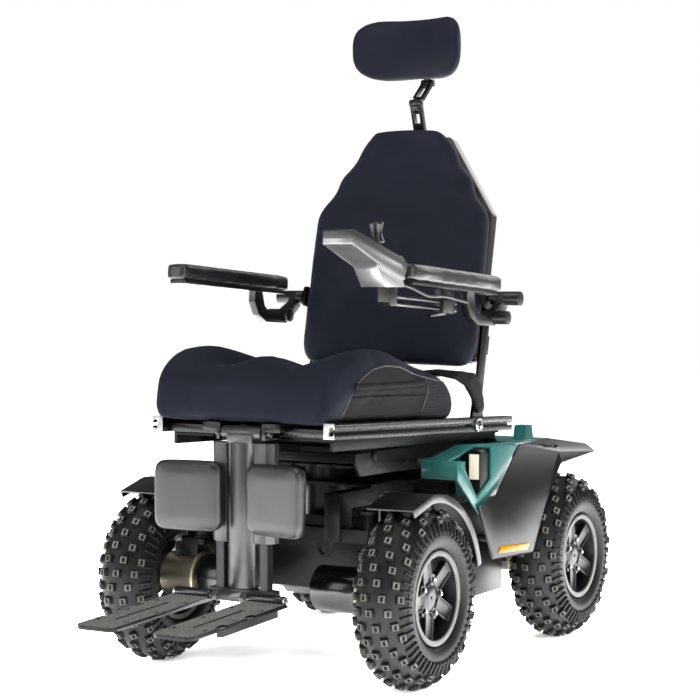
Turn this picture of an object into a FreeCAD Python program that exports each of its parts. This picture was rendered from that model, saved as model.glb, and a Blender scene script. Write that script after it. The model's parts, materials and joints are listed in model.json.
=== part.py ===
import FreeCAD, Part
import math
import os

from FreeCAD import Placement, Rotation, Vector

os.makedirs("parts", exist_ok=True)

# Four-wheel all-terrain power wheelchair, millimetres, +Z up.
# The sitter faces -Y and the sitter's left is +X. Everything below is laid out
# from a datum on the floor under the middle of the wheelbase, and is moved
# along Y when it is written, so that the origin ends under the middle of the
# whole chair.

# Wheels and axles
wheelbase = 656.0
track = 589.2
tyre_radius = 178.0
tyre_width = 112.0
knob_height = 7.0
knob_size = 14.5
knob_rows = 39
knob_column_pitch = 33.0
shoulder_lugs = 54
rim_radius = 88.0
rim_half_width = 46.0
axle_radius = 12.0
hub_radius = 30.0
nut_circle_radius = 34.0
nut_count = 5
spoke_phase = -49.0
bearing_clearance = 0.05
face_clearance = 0.4
face_contact_gap = 0.3

# Steering
kingpin_x = 198.0
kingpin_radius = 12.0
kingpin_boss_radius = 18.0
knuckle_plate_top_z = 258.0
steering_ball_back = 75.0
ball_pin_radius = 5.0
open_end_clearance = 0.8

# Drive units
motor_radius = 45.0
gearbox_radius = 46.0

# Chassis
rail_inner_x = 105.0
rail_outer_x = 140.0
rail_bottom_z = 334.0
rail_height = 32.0
rail_front_y = -350.0
rail_rear_y = 412.0
beam_bottom_z = 272.0
beam_height = 26.0
front_plate_y = -wheelbase / 2 + 100.0
front_plate_half_width = 172.0
front_plate_bottom_z = 158.0
case_half_width = 190.0
case_front_y = -60.0
case_rear_y = 254.0
case_bottom_z = 105.0
case_wall = 5.0
battery_width = case_half_width - 22.0
battery_length = 259.0
battery_height = 208.0
tie_down_bore_radius = 9.0
tie_down_thickness = 8.0
front_lug_x = 100.0
front_lug_z = 256.0

# Seat column
column_y = front_plate_y + 68.0
column_radius = 42.0
column_wall = 6.0
column_bottom_z = 190.0
column_top_z = 404.0
flange_thickness = 7.0
lift_stroke = 150.0

# Tilt
tilt_pivot_y = 235.0
tilt_pivot_z = 425.0
tilt_pin_radius = 8.0
seat_rake = 2.4

# Seat, laid out level and then raked about the tilt pivot
seat_rail_inner_x = 183.5
seat_rail_width = 24.5
seat_rail_height = 30.0
seat_rail_bottom_z = 452.0
seat_rail_front_y = -484.0
seat_rail_rear_y = 263.0
cushion_half_width = 214.0
cushion_front_y = -503.0
cushion_rear_y = 16.0
cushion_height = 141.0
soft_gap = 0.3

# Backrest, laid out upright on its own pivot and then reclined
recline = 12.4
back_pivot_y = 112.0
back_pivot_z = 512.0
back_pin_radius = 7.0
pad_half_width = 216.0
pad_thickness = 62.0
pad_length = 521.0
pad_taper_start = 331.0
pad_top_half_width = 92.0

# Headrest
head_elbow_y = 208.0
head_elbow_z = 1164.0
head_pad_half_width = 129.0
head_pad_height = 140.0
head_pad_thickness = 64.0
head_pin_radius = 4.0

# Armrests
arm_pad_centre_x = 260.0
arm_pad_width = 50.0
arm_pad_height = 31.0
arm_pad_left_front_y = -321.0
arm_pad_right_front_y = -335.0
arm_pad_rear_y = 62.0
arm_pad_top_z = 811.0
arm_slope = 3.8
arm_pivot_y = 118.0
arm_pivot_z = 738.0
arm_pin_radius = 6.0

# Leg rest and footplates
leg_pivot_y = -470.0
leg_pivot_z = 486.0
leg_pin_radius = 7.0
leg_column_half_width = 31.0
leg_column_front_y = -480.0
leg_column_back_y = -440.0
leg_column_bulge = 13.0
leg_channel_outer_x = 70.0
leg_channel_bottom_z = 278.0
leg_column_top_z = 468.0
leg_column_bottom_z = 192.0
leg_rod_x = 50.0
leg_rod_half_width = 9.0
leg_rod_clearance = 0.3
leg_slide_travel = 80.0
foot_hinge_y = -520.0
foot_hinge_z = 181.0
foot_pin_radius = 5.0
foot_tube_radius = 9.5
footplate_centre_x = 85.0
footplate_width = 86.0
footplate_tip_y = -828.0
footplate_thickness = 8.0
footplate_corner = 17.0
footplate_droop = 2.6
calf_pad_inner_x = 26.0
calf_pad_outer_x = 166.0
calf_pad_front_y = -514.0
calf_pad_bottom_z = 298.0
calf_pad_top_z = 434.0
calf_pad_thickness = 28.0

# Hand controller
stick_y = -392.0
stick_z = 826.0
gimbal_pin_radius = 2.0

front_axle_y = -wheelbase / 2
rear_axle_y = wheelbase / 2
wheel_x = track / 2
length_shift = -(footplate_tip_y + rear_axle_y + tyre_radius) / 2


# Shape helpers

def v(x, y, z):
    return Vector(x, y, z)


def box(x0, x1, y0, y1, z0, z1):
    return Part.makeBox(x1 - x0, y1 - y0, z1 - z0, v(x0, y0, z0))


def rod(radius, start, end):
    start = Vector(*start)
    run = Vector(*end) - start
    return Part.makeCylinder(radius, run.Length, start, run)


def prism(points, run):
    wire = Part.makePolygon([Vector(*p) for p in points + points[:1]])
    return Part.Face(wire).extrude(Vector(*run))


def prism_x(points, x0, x1):
    return prism([(x0, y, z) for y, z in points], (x1 - x0, 0, 0))


def prism_y(points, y0, y1):
    return prism([(x, y0, z) for x, z in points], (0, y1 - y0, 0))


def prism_z(points, z0, z1):
    return prism([(x, y, z0) for x, y in points], (0, 0, z1 - z0))


def fuse(*shapes):
    whole = shapes[0].fuse(list(shapes[1:]))
    return whole.removeSplitter()


def cut(shape, *tools):
    return shape.cut(list(tools))


def mirrored(shape):
    return shape.mirror(v(0, 0, 0), v(1, 0, 0))


def group(*shapes):
    solids = []
    for shape in shapes:
        solids.extend(shape.Solids)
    return Part.makeCompound(solids)


def both_sides(shape):
    return group(shape, mirrored(shape))


def moved(shape, x=0.0, y=0.0, z=0.0):
    copy = shape.copy()
    copy.translate(v(x, y, z))
    return copy


def turned_x(shape, degrees, y, z):
    copy = shape.copy()
    copy.rotate(v(0, y, z), v(1, 0, 0), degrees)
    return copy


def fillet(shape, radius, wanted):
    edges = [edge for edge in shape.Edges if wanted(edge)]
    return shape.makeFillet(radius, edges)


def along(axis):
    def test(edge):
        if not isinstance(edge.Curve, Part.Line):
            return False
        way = edge.Curve.Direction
        return abs(getattr(way, axis)) > 0.999
    return test


def facets(corners, faces, wall):
    pieces = []
    for names in faces:
        pieces.append(prism([corners[name] for name in names], wall))
    return fuse(*pieces)


def arc(a, b, c):
    return Part.Arc(Vector(*a), Vector(*b), Vector(*c)).toShape()


def line(a, b):
    return Part.LineSegment(Vector(*a), Vector(*b)).toShape()


def lofted(wires):
    return Part.makeLoft(wires, True, False)


def rake_seat(shape):
    return turned_x(shape, -seat_rake, tilt_pivot_y, tilt_pivot_z)


def rake_point(y, z):
    angle = math.radians(seat_rake)
    dy = y - tilt_pivot_y
    dz = z - tilt_pivot_z
    turned_y = tilt_pivot_y + dy * math.cos(angle) + dz * math.sin(angle)
    turned_z = tilt_pivot_z - dy * math.sin(angle) + dz * math.cos(angle)
    return turned_y, turned_z


def recline_back(shape):
    return turned_x(shape, -recline, back_pivot_y, back_pivot_z)


def save(name, shape):
    placed = moved(shape, y=length_shift)
    placed.exportStep("parts/" + name + ".step")


# Wheels: each is made once about its own centre with the outboard side at +X

def tyre():
    carcass_radius = 57.0
    carcass_mid = tyre_radius - knob_height - carcass_radius
    bead = rim_radius + 3.0
    outer = []
    for degrees in range(-90, 91, 15):
        a = math.radians(degrees)
        outer.append((carcass_radius * 0.975 * math.sin(a), carcass_mid + carcass_radius * math.cos(a)))
    outer = [(-44.0, bead)] + outer + [(44.0, bead)]
    inner = [(35.0, bead), (42.0, 112.0), (40.0, 138.0), (0.0, 160.0), (-40.0, 138.0), (-42.0, 112.0),
             (-35.0, bead)]
    section = [v(x, 0.0, r) for x, r in outer + inner]
    wire = Part.makePolygon(section + section[:1])
    carcass = Part.Face(wire).revolve(v(0, 0, 0), v(1, 0, 0), 360)
    added = []
    pitch = 360.0 / knob_rows
    stagger = knob_column_pitch / 3
    for row in range(knob_rows):
        shift = (row % 3 - 1) * stagger
        for column in range(-2, 3):
            across = column * knob_column_pitch + shift
            if abs(across) > 60.0:
                continue
            half = knob_size / 2
            knob = box(-half, half, -half, half, carcass_radius - 4.0, carcass_radius + knob_height - 0.2)
            knob.rotate(v(0, 0, 0), v(0, 1, 0), math.degrees(across / carcass_radius))
            added.append(turned_x(moved(knob, z=carcass_mid), row * pitch, 0, 0))
    for index in range(shoulder_lugs):
        for side in (-1.0, 1.0):
            lug = box(-14.0, 14.0, -3.0, 3.0, carcass_radius - 4.0, carcass_radius + 2.6)
            lug.rotate(v(0, 0, 0), v(0, 1, 0), side * 71.0)
            turn = (index + 0.5) * 360.0 / shoulder_lugs
            added.append(turned_x(moved(lug, z=carcass_mid), turn, 0, 0))
    return carcass.fuse(added)


def rim():
    lip = rim_half_width
    section = [
        (-lip, rim_radius + 2.8), (-lip, rim_radius - 6.0), (lip - 4.0, rim_radius - 6.0),
        (lip, rim_radius - 4.0), (lip, rim_radius + 2.8),
    ]
    wire = Part.makePolygon([v(x, 0, r) for x, r in section + section[:1]])
    barrel = Part.Face(wire).revolve(v(0, 0, 0), v(1, 0, 0), 360)
    hub = rod(hub_radius + 22.0, (18.0, 0, 0), (28.0, 0, 0))
    nose = rod(hub_radius, (-20.0, 0, 0), (34.0, 0, 0))
    spokes = []
    for index in range(nut_count):
        spoke = prism_x([(-13.0, 30.0), (13.0, 30.0), (10.0, rim_radius - 2.0),
                         (-10.0, rim_radius - 2.0)], 20.0, 36.0)
        groove = prism_x([(-3.5, 44.0), (3.5, 44.0), (3.5, 74.0), (-3.5, 74.0)],
                         33.0, 40.0)
        turn = spoke_phase + index * 360.0 / nut_count
        spokes.append(turned_x(cut(spoke, groove), turn, 0, 0))
    body = fuse(barrel, hub, nose, *spokes)
    bore = rod(axle_radius + bearing_clearance, (-30.0, 0, 0), (50.0, 0, 0))
    body = cut(body, bore)
    axle = rod(axle_radius, (wheel_x_to_gearbox(), 0, 0), (32.0, 0, 0))
    cap = rod(axle_radius + 8.0, (34.0, 0, 0), (38.0, 0, 0))
    axle = fuse(axle, rod(axle_radius - 2.0, (30.0, 0, 0), (36.0, 0, 0)), cap)
    nuts = []
    for index in range(nut_count):
        nut = rod(6.5, (28.0, 0, nut_circle_radius), (38.0, 0, nut_circle_radius))
        nuts.append(turned_x(nut, spoke_phase + (index + 0.5) * 360.0 / nut_count, 0, 0))
    return group(body, axle, *nuts)


def wheel_x_to_gearbox():
    return 205.0 - wheel_x


def place_wheel(shape, side, axle_y):
    placed = shape if side > 0 else mirrored(shape)
    return moved(placed, side * wheel_x, axle_y, tyre_radius)


# Drive unit on the left, gearbox inside the rim and motor inboard of it

def drive_unit(axle_y):
    z = tyre_radius
    gearbox_outer_x = wheel_x - 24.0
    flange_x = 188.0
    gearbox = fuse(
        rod(gearbox_radius, (flange_x, axle_y, z), (gearbox_outer_x, axle_y, z)),
        rod(gearbox_radius + 6.0, (flange_x, axle_y, z), (flange_x + 7.0, axle_y, z)),
    )
    bore = rod(axle_radius + bearing_clearance,
               (wheel_x_to_gearbox() + wheel_x - face_clearance, axle_y, z),
               (gearbox_outer_x + 1.0, axle_y, z))
    gearbox = cut(gearbox, bore)
    can_inner_x = 80.0
    can = rod(motor_radius, (can_inner_x + 6.0, axle_y, z), (flange_x, axle_y, z))
    cap = rod(motor_radius - 8.0, (can_inner_x, axle_y, z), (can_inner_x + 6.0, axle_y, z))
    return group(gearbox, fuse(can, cap))


# Knuckle: pin, plate, saddle on the gearbox and steering arm

def knuckle():
    y = front_axle_y
    z = tyre_radius
    plate_top = knuckle_plate_top_z
    plate_bottom = knuckle_plate_top_z - 12.0
    pin_top = beam_bottom_z + 58.0
    pin = rod(kingpin_radius, (kingpin_x, y, plate_bottom), (kingpin_x, y, pin_top))
    cap = rod(kingpin_boss_radius + 5.0, (kingpin_x, y, pin_top - face_clearance),
              (kingpin_x, y, pin_top + 6.0))
    plate = box(178.0, 236.0, y - 26.0, y + 26.0, plate_bottom, plate_top)
    plate = fillet(plate, 8.0, along("z"))
    saddle = box(196.0, 250.0, y - 20.0, y + 20.0, 190.0, plate_bottom + 1.0)
    seat = rod(gearbox_radius, (150.0, y, z), (300.0, y, z))
    saddle = cut(saddle, seat)
    ball_x = kingpin_x
    ball_y = y + steering_ball_back
    arm = prism_z([(ball_x - 11, ball_y - 6), (ball_x + 11, ball_y - 6), (kingpin_x + 12, y),
                   (kingpin_x - 14, y)], plate_bottom, plate_top)
    eye = rod(12.0, (ball_x, ball_y, plate_bottom), (ball_x, ball_y, plate_top))
    ball_pin = rod(ball_pin_radius, (ball_x, ball_y, plate_top - 2.0),
                   (ball_x, ball_y, plate_top + 17.0))
    saddle_top = max(saddle.Solids, key=lambda solid: solid.BoundBox.ZMax)
    return fuse(plate, pin, cap, saddle_top, arm, eye, ball_pin)


def tie_rod():
    y = front_axle_y + steering_ball_back
    ball_x = kingpin_x
    low = knuckle_plate_top_z + face_clearance
    high = low + 12.0
    middle = (low + high) / 2
    bar = rod(5.5, (-ball_x + 8.0, y, middle), (ball_x - 8.0, y, middle))
    left = rod(11.0, (ball_x, y, low), (ball_x, y, high))
    right = rod(11.0, (-ball_x, y, low), (-ball_x, y, high))
    body = fuse(bar, left, right)
    left_hole = rod(ball_pin_radius + bearing_clearance, (ball_x, y, low - 1), (ball_x, y, high + 1))
    right_hole = rod(ball_pin_radius + open_end_clearance, (-ball_x, y, low - 1),
                     (-ball_x, y, high + 1))
    return cut(body, left_hole, right_hole)


def fender_band(inner, outer, x0, x1):
    def spot(radius, degrees):
        a = math.radians(degrees)
        return x0, front_axle_y + radius * math.sin(a), tyre_radius + radius * math.cos(a)

    front, fold, middle, rear = -27.0, -4.0, 36.0, 78.0
    edges = [
        line(spot(outer, front), spot(outer, fold)),
        arc(spot(outer, fold), spot(outer, middle), spot(outer, rear)),
        line(spot(outer, rear), spot(inner, rear)),
        arc(spot(inner, rear), spot(inner, middle), spot(inner, fold)),
        line(spot(inner, fold), spot(inner, front)),
        line(spot(inner, front), spot(outer, front)),
    ]
    return Part.Face(Part.Wire(edges)).extrude(v(x1 - x0, 0, 0))


def fender():
    inner_radius = tyre_radius + 13.0
    wall = 4.0
    outer_x = wheel_x + 43.0
    inner_x = wheel_x - 57.0
    lip_depth = 12.0
    shell = fender_band(inner_radius, inner_radius + wall, inner_x, outer_x)
    rim_lip = fender_band(inner_radius - lip_depth, inner_radius + wall, wheel_x + 40.0, outer_x)
    plate_top = knuckle_plate_top_z
    stay_x = 222.0
    crown_z = tyre_radius + inner_radius
    stay = prism_x([(front_axle_y - 16, plate_top), (front_axle_y + 16, plate_top),
                    (front_axle_y + 16, crown_z + 3.0), (front_axle_y - 16, crown_z + 3.0)],
                   stay_x, stay_x + 5.0)
    shelf = box(stay_x, inner_x + 6.0, front_axle_y - 16, front_axle_y + 16, crown_z - 2.0, crown_z + 2.0)
    return fuse(shell, rim_lip, stay, shelf)


# Chassis weldment

def chassis_frame():
    rail_top_z = rail_bottom_z + rail_height
    rail = box(rail_inner_x, rail_outer_x, rail_front_y, rail_rear_y, rail_bottom_z, rail_top_z)
    upright = box(rail_inner_x, rail_outer_x, front_axle_y - 22, front_axle_y + 22,
                  beam_bottom_z, rail_bottom_z)
    y = front_axle_y
    beam = box(0, kingpin_x, y - 18, y + 18, beam_bottom_z, beam_bottom_z + beam_height)
    gusset = prism_y([(150.0, beam_bottom_z + beam_height), (kingpin_x, beam_bottom_z + 46.0),
                      (kingpin_x, beam_bottom_z + beam_height)], y - 4, y + 4)
    boss_bottom = knuckle_plate_top_z + face_clearance
    boss_top = beam_bottom_z + 58.0 - 2 * face_clearance
    boss = rod(kingpin_boss_radius, (kingpin_x, y, boss_bottom), (kingpin_x, y, boss_top))
    boss_ring = rod(kingpin_boss_radius + 4.0, (kingpin_x, y, boss_bottom),
                    (kingpin_x, y, boss_bottom + 4.0))
    boss_bore = rod(kingpin_radius + bearing_clearance, (kingpin_x, y, 200.0),
                    (kingpin_x, y, 400.0))
    lug_x = front_lug_x
    lug_z = front_lug_z
    lug = box(lug_x - 16, lug_x + 16, y - 18, y - 18 + tie_down_thickness, lug_z, beam_bottom_z)
    lug = fuse(lug, rod(16.0, (lug_x, y - 18, lug_z), (lug_x, y - 18 + tie_down_thickness, lug_z)))
    lug_bore = rod(tie_down_bore_radius, (lug_x, y - 20, lug_z), (lug_x, y, lug_z))
    plate = box(0, front_plate_half_width, front_plate_y, front_plate_y + 8.0,
                front_plate_bottom_z, 304.0)
    chin = prism_x([(front_plate_y, front_plate_bottom_z), (front_plate_y + 8, front_plate_bottom_z - 4),
                    (case_front_y, case_bottom_z + 24), (case_front_y, case_bottom_z + 32),
                    (front_plate_y + 8, front_plate_bottom_z + 8)], 0, 96.0)
    plate_post = box(rail_inner_x, rail_outer_x, front_plate_y + 8, front_plate_y + 20,
                     front_plate_bottom_z + 40, rail_bottom_z)
    column_tray = box(0, rail_outer_x, column_y - 66, column_y + 66, rail_top_z, rail_top_z + 6)
    hanger = box(rail_inner_x, rail_outer_x, rear_axle_y - 26, rear_axle_y + 26,
                 190.0, rail_bottom_z)
    hanger_seat = rod(motor_radius, (60.0, rear_axle_y, tyre_radius),
                      (200.0, rear_axle_y, tyre_radius))
    hanger = max(cut(hanger, hanger_seat).Solids, key=lambda solid: solid.BoundBox.ZMax)
    front_arm = box(rail_outer_x, 205.0, -50.0, -26.0, rail_bottom_z + 4, rail_bottom_z + 24)
    rear_arm = box(rail_outer_x, 205.0, 232.0, 256.0, rail_bottom_z + 4, rail_bottom_z + 24)
    tail = box(0, rail_inner_x, rail_rear_y - 24, rail_rear_y, rail_bottom_z, rail_top_z)
    tail_lug = prism_x([(rail_rear_y, rail_bottom_z), (rail_rear_y + 30, rail_bottom_z + 3),
                        (rail_rear_y + 30, rail_top_z - 3), (rail_rear_y, rail_top_z)],
                       60.0, 60.0 + tie_down_thickness)
    tail_bore = rod(tie_down_bore_radius, (50.0, rail_rear_y + 16, rail_bottom_z + 16),
                    (80.0, rail_rear_y + 16, rail_bottom_z + 16))
    half = fuse(rail, upright, beam, gusset, boss, boss_ring, lug, plate, chin, plate_post,
                column_tray, hanger, front_arm, rear_arm, tail, tail_lug)
    half = cut(half, boss_bore, lug_bore, tail_bore)
    whole = fuse(half, mirrored(half))
    column_hole = rod(column_radius + column_wall, (0, column_y, 150), (0, column_y, 500))
    return cut(whole, column_hole)


def battery_case():
    low = case_bottom_z
    top = rail_bottom_z
    outline = [(case_front_y, low + 34), (case_front_y + 34, low), (case_rear_y, low),
               (case_rear_y, top), (case_front_y, top)]
    w = case_wall
    hollow = [(case_front_y + w, low + 36), (case_front_y + 36, low + w), (case_rear_y - w, low + w),
              (case_rear_y - w, top - w), (case_front_y + w, top - w)]
    outer = prism_x(outline, -case_half_width, case_half_width)
    inner = prism_x(hollow, -case_half_width + w, case_half_width - w)
    seam_z = top - 26.0
    groove = cut(prism_x([(case_front_y - 1, seam_z), (case_rear_y + 1, seam_z),
                          (case_rear_y + 1, seam_z + 3), (case_front_y - 1, seam_z + 3)],
                         -case_half_width - 1, case_half_width + 1),
                 box(-case_half_width + 2, case_half_width - 2, case_front_y + 2, case_rear_y - 2,
                     seam_z - 1, seam_z + 4))
    return cut(outer, inner, groove)


def batteries():
    gap = 3.0
    floor_z = case_bottom_z + case_wall + soft_gap
    front_y = case_rear_y - case_wall - gap - battery_length
    block = box(gap, gap + battery_width, front_y, front_y + battery_length,
                floor_z, floor_z + battery_height)
    block = fillet(block, 4.0, along("z"))
    post_z = floor_z + battery_height
    post = rod(7.0, (gap + 25, front_y + 30, post_z), (gap + 25, front_y + 30, post_z + 6.0))
    other = rod(7.0, (gap + battery_width - 25, front_y + 30, post_z),
                (gap + battery_width - 25, front_y + 30, post_z + 6.0))
    return both_sides(fuse(block, post, other))


def power_module():
    base = box(-90, 90, -40, 130, rail_bottom_z, rail_bottom_z + 30)
    fins = []
    fin_pitch = 15.0
    for index in range(12):
        x = -86.0 + index * fin_pitch
        fins.append(box(x, x + 5.0, -36, 126, rail_bottom_z + 30, rail_bottom_z + 46))
    return fuse(base, *fins)


def seat_post():
    outer_radius = column_radius + column_wall
    tube = rod(outer_radius, (0, column_y, column_bottom_z), (0, column_y, column_top_z))
    flange_half = 110.0
    flange = box(-flange_half, flange_half, column_y - 90, column_y + 90,
                 column_top_z, column_top_z + flange_thickness)
    flange = fillet(flange, 18.0, along("z"))
    notches = []
    for x in (-66.0, -22.0, 22.0, 66.0):
        for side in (-1, 1):
            y = column_y + side * 90
            notches.append(rod(8.0, (x, y, column_top_z - 1), (x, y, column_top_z + 20)))
    bore = rod(column_radius + bearing_clearance, (0, column_y, column_bottom_z + 4),
               (0, column_y, column_top_z + 20))
    floor_hole = rod(20.0, (0, column_y, column_bottom_z - 1), (0, column_y, column_bottom_z + 5))
    return cut(fuse(tube, flange), bore, floor_hole, *notches)


# Teal body shroud, one side made from facets and mirrored

shroud_wall = 4.0
shroud_side_x = 287.0
shroud_inner_x = 205.0


def deck_z(y):
    return 437.0 - 0.054 * (y - 5.0)


def body_shroud():
    xs = shroud_side_x
    xi = shroud_inner_x
    w = shroud_wall
    side = prism_x([(-142, 416), (-142, 381), (-47, 303), (-2, 334), (128, deck_z(128)), (5, 437),
                    (5, 372), (-57, 338), (-110, 400), (-110, 416)], xs - w, xs)
    front = box(217, xs, -142, -142 + w, 381, 416)
    shelf = box(217, xs, -142, -110, 416 - w, 416)
    inner = prism_x([(-142, 416), (-142, 381), (0, 381), (8, 330), (262, 330), (262, 425), (5, 437),
                     (-110, 416)], xi, xi + w)
    ledge = prism_x([(-110, 416), (5, 437), (5, 437 - w), (-110, 416 - w)], xi, 249.0)
    corner = box(xi, 217 + w, -142, -110, 416 - w, 416)
    corner_front = box(xi, 217 + w, -142, -142 + w, 381, 416)
    lamp_back = box(xi, xs, 8, 8 + w, 345, 434)
    deck = prism([(xi, 5, 437), (xs, 5, 437), (xs, 122, deck_z(122)), (262, 158, deck_z(158)),
                  (262, 190, deck_z(190)), (xi, 190, deck_z(190))], (0, 0, -w))
    rear_deck = prism_x([(190, deck_z(190)), (400, 425), (400, 425 - w), (190, deck_z(190) - w)],
                        xi, 234)
    rear_top = prism([(0, 264, 425), (xi + w, 264, 425), (xi + w, 400, 425), (0, 400, 425)],
                     (0, 0, -w))
    rear_wall = box(0, 234, 396, 400, 372, 425)
    well_wall = box(0, xi + w, 260, 264, 372, 425)
    hump = prism_x([(318, 425), (326, 456), (356, 456), (364, 425)], 184, 212)
    half = fuse(side, front, shelf, inner, ledge, corner, corner_front, lamp_back, deck,
                rear_deck, rear_top, rear_wall, well_wall, hump)
    return fuse(half, mirrored(half))


def side_fairing():
    corners = {
        "low_front": (300, -7, 213), "low_rear": (325, 126, 211), "arch_mid": (325, 186, 303),
        "arch_top": (325, 266, 385), "front_top": (293, -60, 323), "crease_front": (300, 0, 337),
        "crease_rear": (314, 275, 408), "deck_front": (272, 170, 430),
        "deck_rear": (241, 376, 427), "tail_inner": (285, 486, 409), "tail_outer": (329, 438, 397),
    }
    faces = [
        ("front_top", "low_front", "crease_front"),
        ("low_front", "low_rear", "crease_front"),
        ("low_rear", "arch_mid", "crease_front"),
        ("arch_mid", "crease_rear", "crease_front"),
        ("arch_mid", "arch_top", "crease_rear"),
        ("arch_top", "tail_outer", "crease_rear"),
        ("crease_front", "crease_rear", "deck_front"),
        ("deck_front", "crease_rear", "deck_rear"),
        ("crease_rear", "tail_outer", "deck_rear"),
        ("tail_outer", "tail_inner", "deck_rear"),
    ]
    skin = facets(corners, faces, (-5.0, 0.0, -5.0))
    stay = box(case_half_width, 303.0, 40.0, 66.0, 236.0, 250.0)
    skid = box(262, 298, 300, 318, 404, 418)
    pad = prism_x([(250, 405), (260, 423), (318, 421), (328, 405)], 262, 292)
    return fuse(skin, stay, cut(pad, skid))


def headlamp_housing():
    inner_x = shroud_side_x - shroud_wall
    outline = [(238, 374), (262, 334), (inner_x, 350), (inner_x, 426), (277, 432), (259, 432),
               (250, 423.5), (238, 423.5)]
    shell = prism_y(outline, -36, 8)
    window = box(257, 280, -37, -30, 372, 424)
    return cut(shell, window)


def headlamp_lens():
    return box(257.5, 279.5, -35.0, -30.0, 372.5, 423.5)


def side_reflector():
    thickness = 2.0
    along_y = 133.0
    rise = 25.0 / along_y
    points = []
    for y, z in ((6, 219), (14, 232), (112, 230), (104, 217)):
        points.append((300.0 + (y + 7) * rise, y, z))
    return prism(points, (thickness, 0, 0))


# Lifting carriage between the column and the tilting seat

def lift_carriage():
    tube = rod(column_radius, (0, column_y, column_bottom_z + 10), (0, column_y, 424))
    hollow = rod(column_radius - 8, (0, column_y, column_bottom_z + 9), (0, column_y, 400))
    base_z = column_top_z + flange_thickness + face_clearance
    turret = box(-50, 50, column_y - 42, column_y + 42, base_z, 440)
    turret = fillet(turret, 10.0, along("z"))
    cross = box(-162, 162, column_y - 26, column_y + 26, 422, 440)
    front_bar = box(-162, 162, -322, -304, 422, 440)
    plate = prism_x([(-334, 424), (-316, 398), (-40, 394), (220, 404), (250, 412), (250, 438),
                     (-334, 442)], 160, 166)
    boss = rod(11.0, (160, -262, 432), (171, -262, 432))
    small_a = rod(5.0, (160, -142, 413), (169, -142, 413))
    small_b = rod(5.0, (160, -92, 411), (169, -92, 411))
    pivot_pin = rod(tilt_pin_radius, (150, tilt_pivot_y, tilt_pivot_z),
                    (182, tilt_pivot_y, tilt_pivot_z))
    motor = rod(17.0, (-120, tilt_pivot_y, tilt_pivot_z), (120, tilt_pivot_y, tilt_pivot_z))
    shaft = rod(tilt_pin_radius, (-165, tilt_pivot_y, tilt_pivot_z),
                (165, tilt_pivot_y, tilt_pivot_z))
    side = fuse(plate, boss, small_a, small_b, pivot_pin)
    body = fuse(tube, turret, cross, front_bar, side, mirrored(side), motor, shaft)
    return cut(body, hollow)


# Seat frame, laid out level

def seat_rail_profile():
    x0 = seat_rail_inner_x
    x1 = x0 + seat_rail_width
    z0 = seat_rail_bottom_z
    z1 = z0 + seat_rail_height
    m = (z0 + z1) / 2
    lip = 2.5
    slot = 4.0
    pocket = 8.0
    depth = 11.0
    return [(x0, z0), (x1, z0), (x1, m - slot), (x1 - lip, m - slot), (x1 - lip, m - pocket),
            (x1 - depth, m - pocket), (x1 - depth, m + pocket), (x1 - lip, m + pocket),
            (x1 - lip, m + slot), (x1, m + slot), (x1, z1), (x0, z1)]


def seat_rails():
    rail = prism_y(seat_rail_profile(), seat_rail_front_y, seat_rail_rear_y)
    top = seat_rail_bottom_z + 16.0
    bars = []
    for y in (-440.0, -200.0, 0.0, 200.0):
        bars.append(box(-seat_rail_inner_x, seat_rail_inner_x, y - 12, y + 12,
                        seat_rail_bottom_z, top))
    channel = box(-88, 88, -484, -452, seat_rail_bottom_z + 8, seat_rail_bottom_z + 24)
    frame = fuse(rail, mirrored(rail), channel, *bars)
    frame = rake_seat(frame)
    y, z = leg_pivot_y, leg_pivot_z
    ear = box(48, 55, y - 13, y + 16, z - 12, z + 12)
    bore = rod(leg_pin_radius + bearing_clearance, (-100, y, z), (100, y, z))
    ears = cut(fuse(ear, mirrored(ear)), bore)
    recess = box(-47, 47, y - 44, y + 26, z - 30, z + 24)
    frame = cut(frame, recess, bore)
    return frame.fuse(ears)


def seat_pan():
    top = seat_rail_bottom_z
    under = top - 6.0
    sheet = box(-182, 182, -446, 250, under, top)
    skirt = prism_x([(-446, top), (-446, top - 24), (224, top - 18), (236, under), (250, under),
                     (250, top)], 176, 182)
    lug = prism_x([(tilt_pivot_y - 15, under + 1), (tilt_pivot_y - 13, tilt_pivot_z - 12),
                   (tilt_pivot_y + 13, tilt_pivot_z - 12), (tilt_pivot_y + 15, under + 1)], 168, 174)
    hole = rod(tilt_pin_radius + bearing_clearance, (140, tilt_pivot_y, tilt_pivot_z),
               (200, tilt_pivot_y, tilt_pivot_z))
    side = cut(fuse(skirt, lug), hole)
    whole = fuse(sheet, side, mirrored(side))
    return rake_seat(cut(whole, box(-90, 90, -450, -425, under - 10, top + 1)))


def cushion_section(y, half, side_top, crest, trough, ridge):
    base = seat_rail_bottom_z + seat_rail_height + soft_gap
    zs = base + side_top
    zc = base + crest
    zt = base + trough
    zr = base + ridge
    tuck = 10.0
    left = [
        arc((-half + tuck, y, base), (-half, y, base + side_top * 0.5), (-half + 4, y, zs)),
        arc((-half + 4, y, zs), (-half + 16, y, zc - (zc - zs) * 0.2), (-half + 40, y, zc)),
        arc((-half + 40, y, zc), (-half * 0.62, y, zc - (zc - zt) * 0.5), (-half * 0.42, y, zt)),
        arc((-half * 0.42, y, zt), (-half * 0.22, y, zt + (zr - zt) * 0.3), (0, y, zr)),
    ]
    right = [
        arc((0, y, zr), (half * 0.22, y, zt + (zr - zt) * 0.3), (half * 0.42, y, zt)),
        arc((half * 0.42, y, zt), (half * 0.62, y, zc - (zc - zt) * 0.5), (half - 40, y, zc)),
        arc((half - 40, y, zc), (half - 16, y, zc - (zc - zs) * 0.2), (half - 4, y, zs)),
        arc((half - 4, y, zs), (half, y, base + side_top * 0.5), (half - tuck, y, base)),
        line((half - tuck, y, base), (-half + tuck, y, base)),
    ]
    return Part.Wire(left + right)


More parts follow.
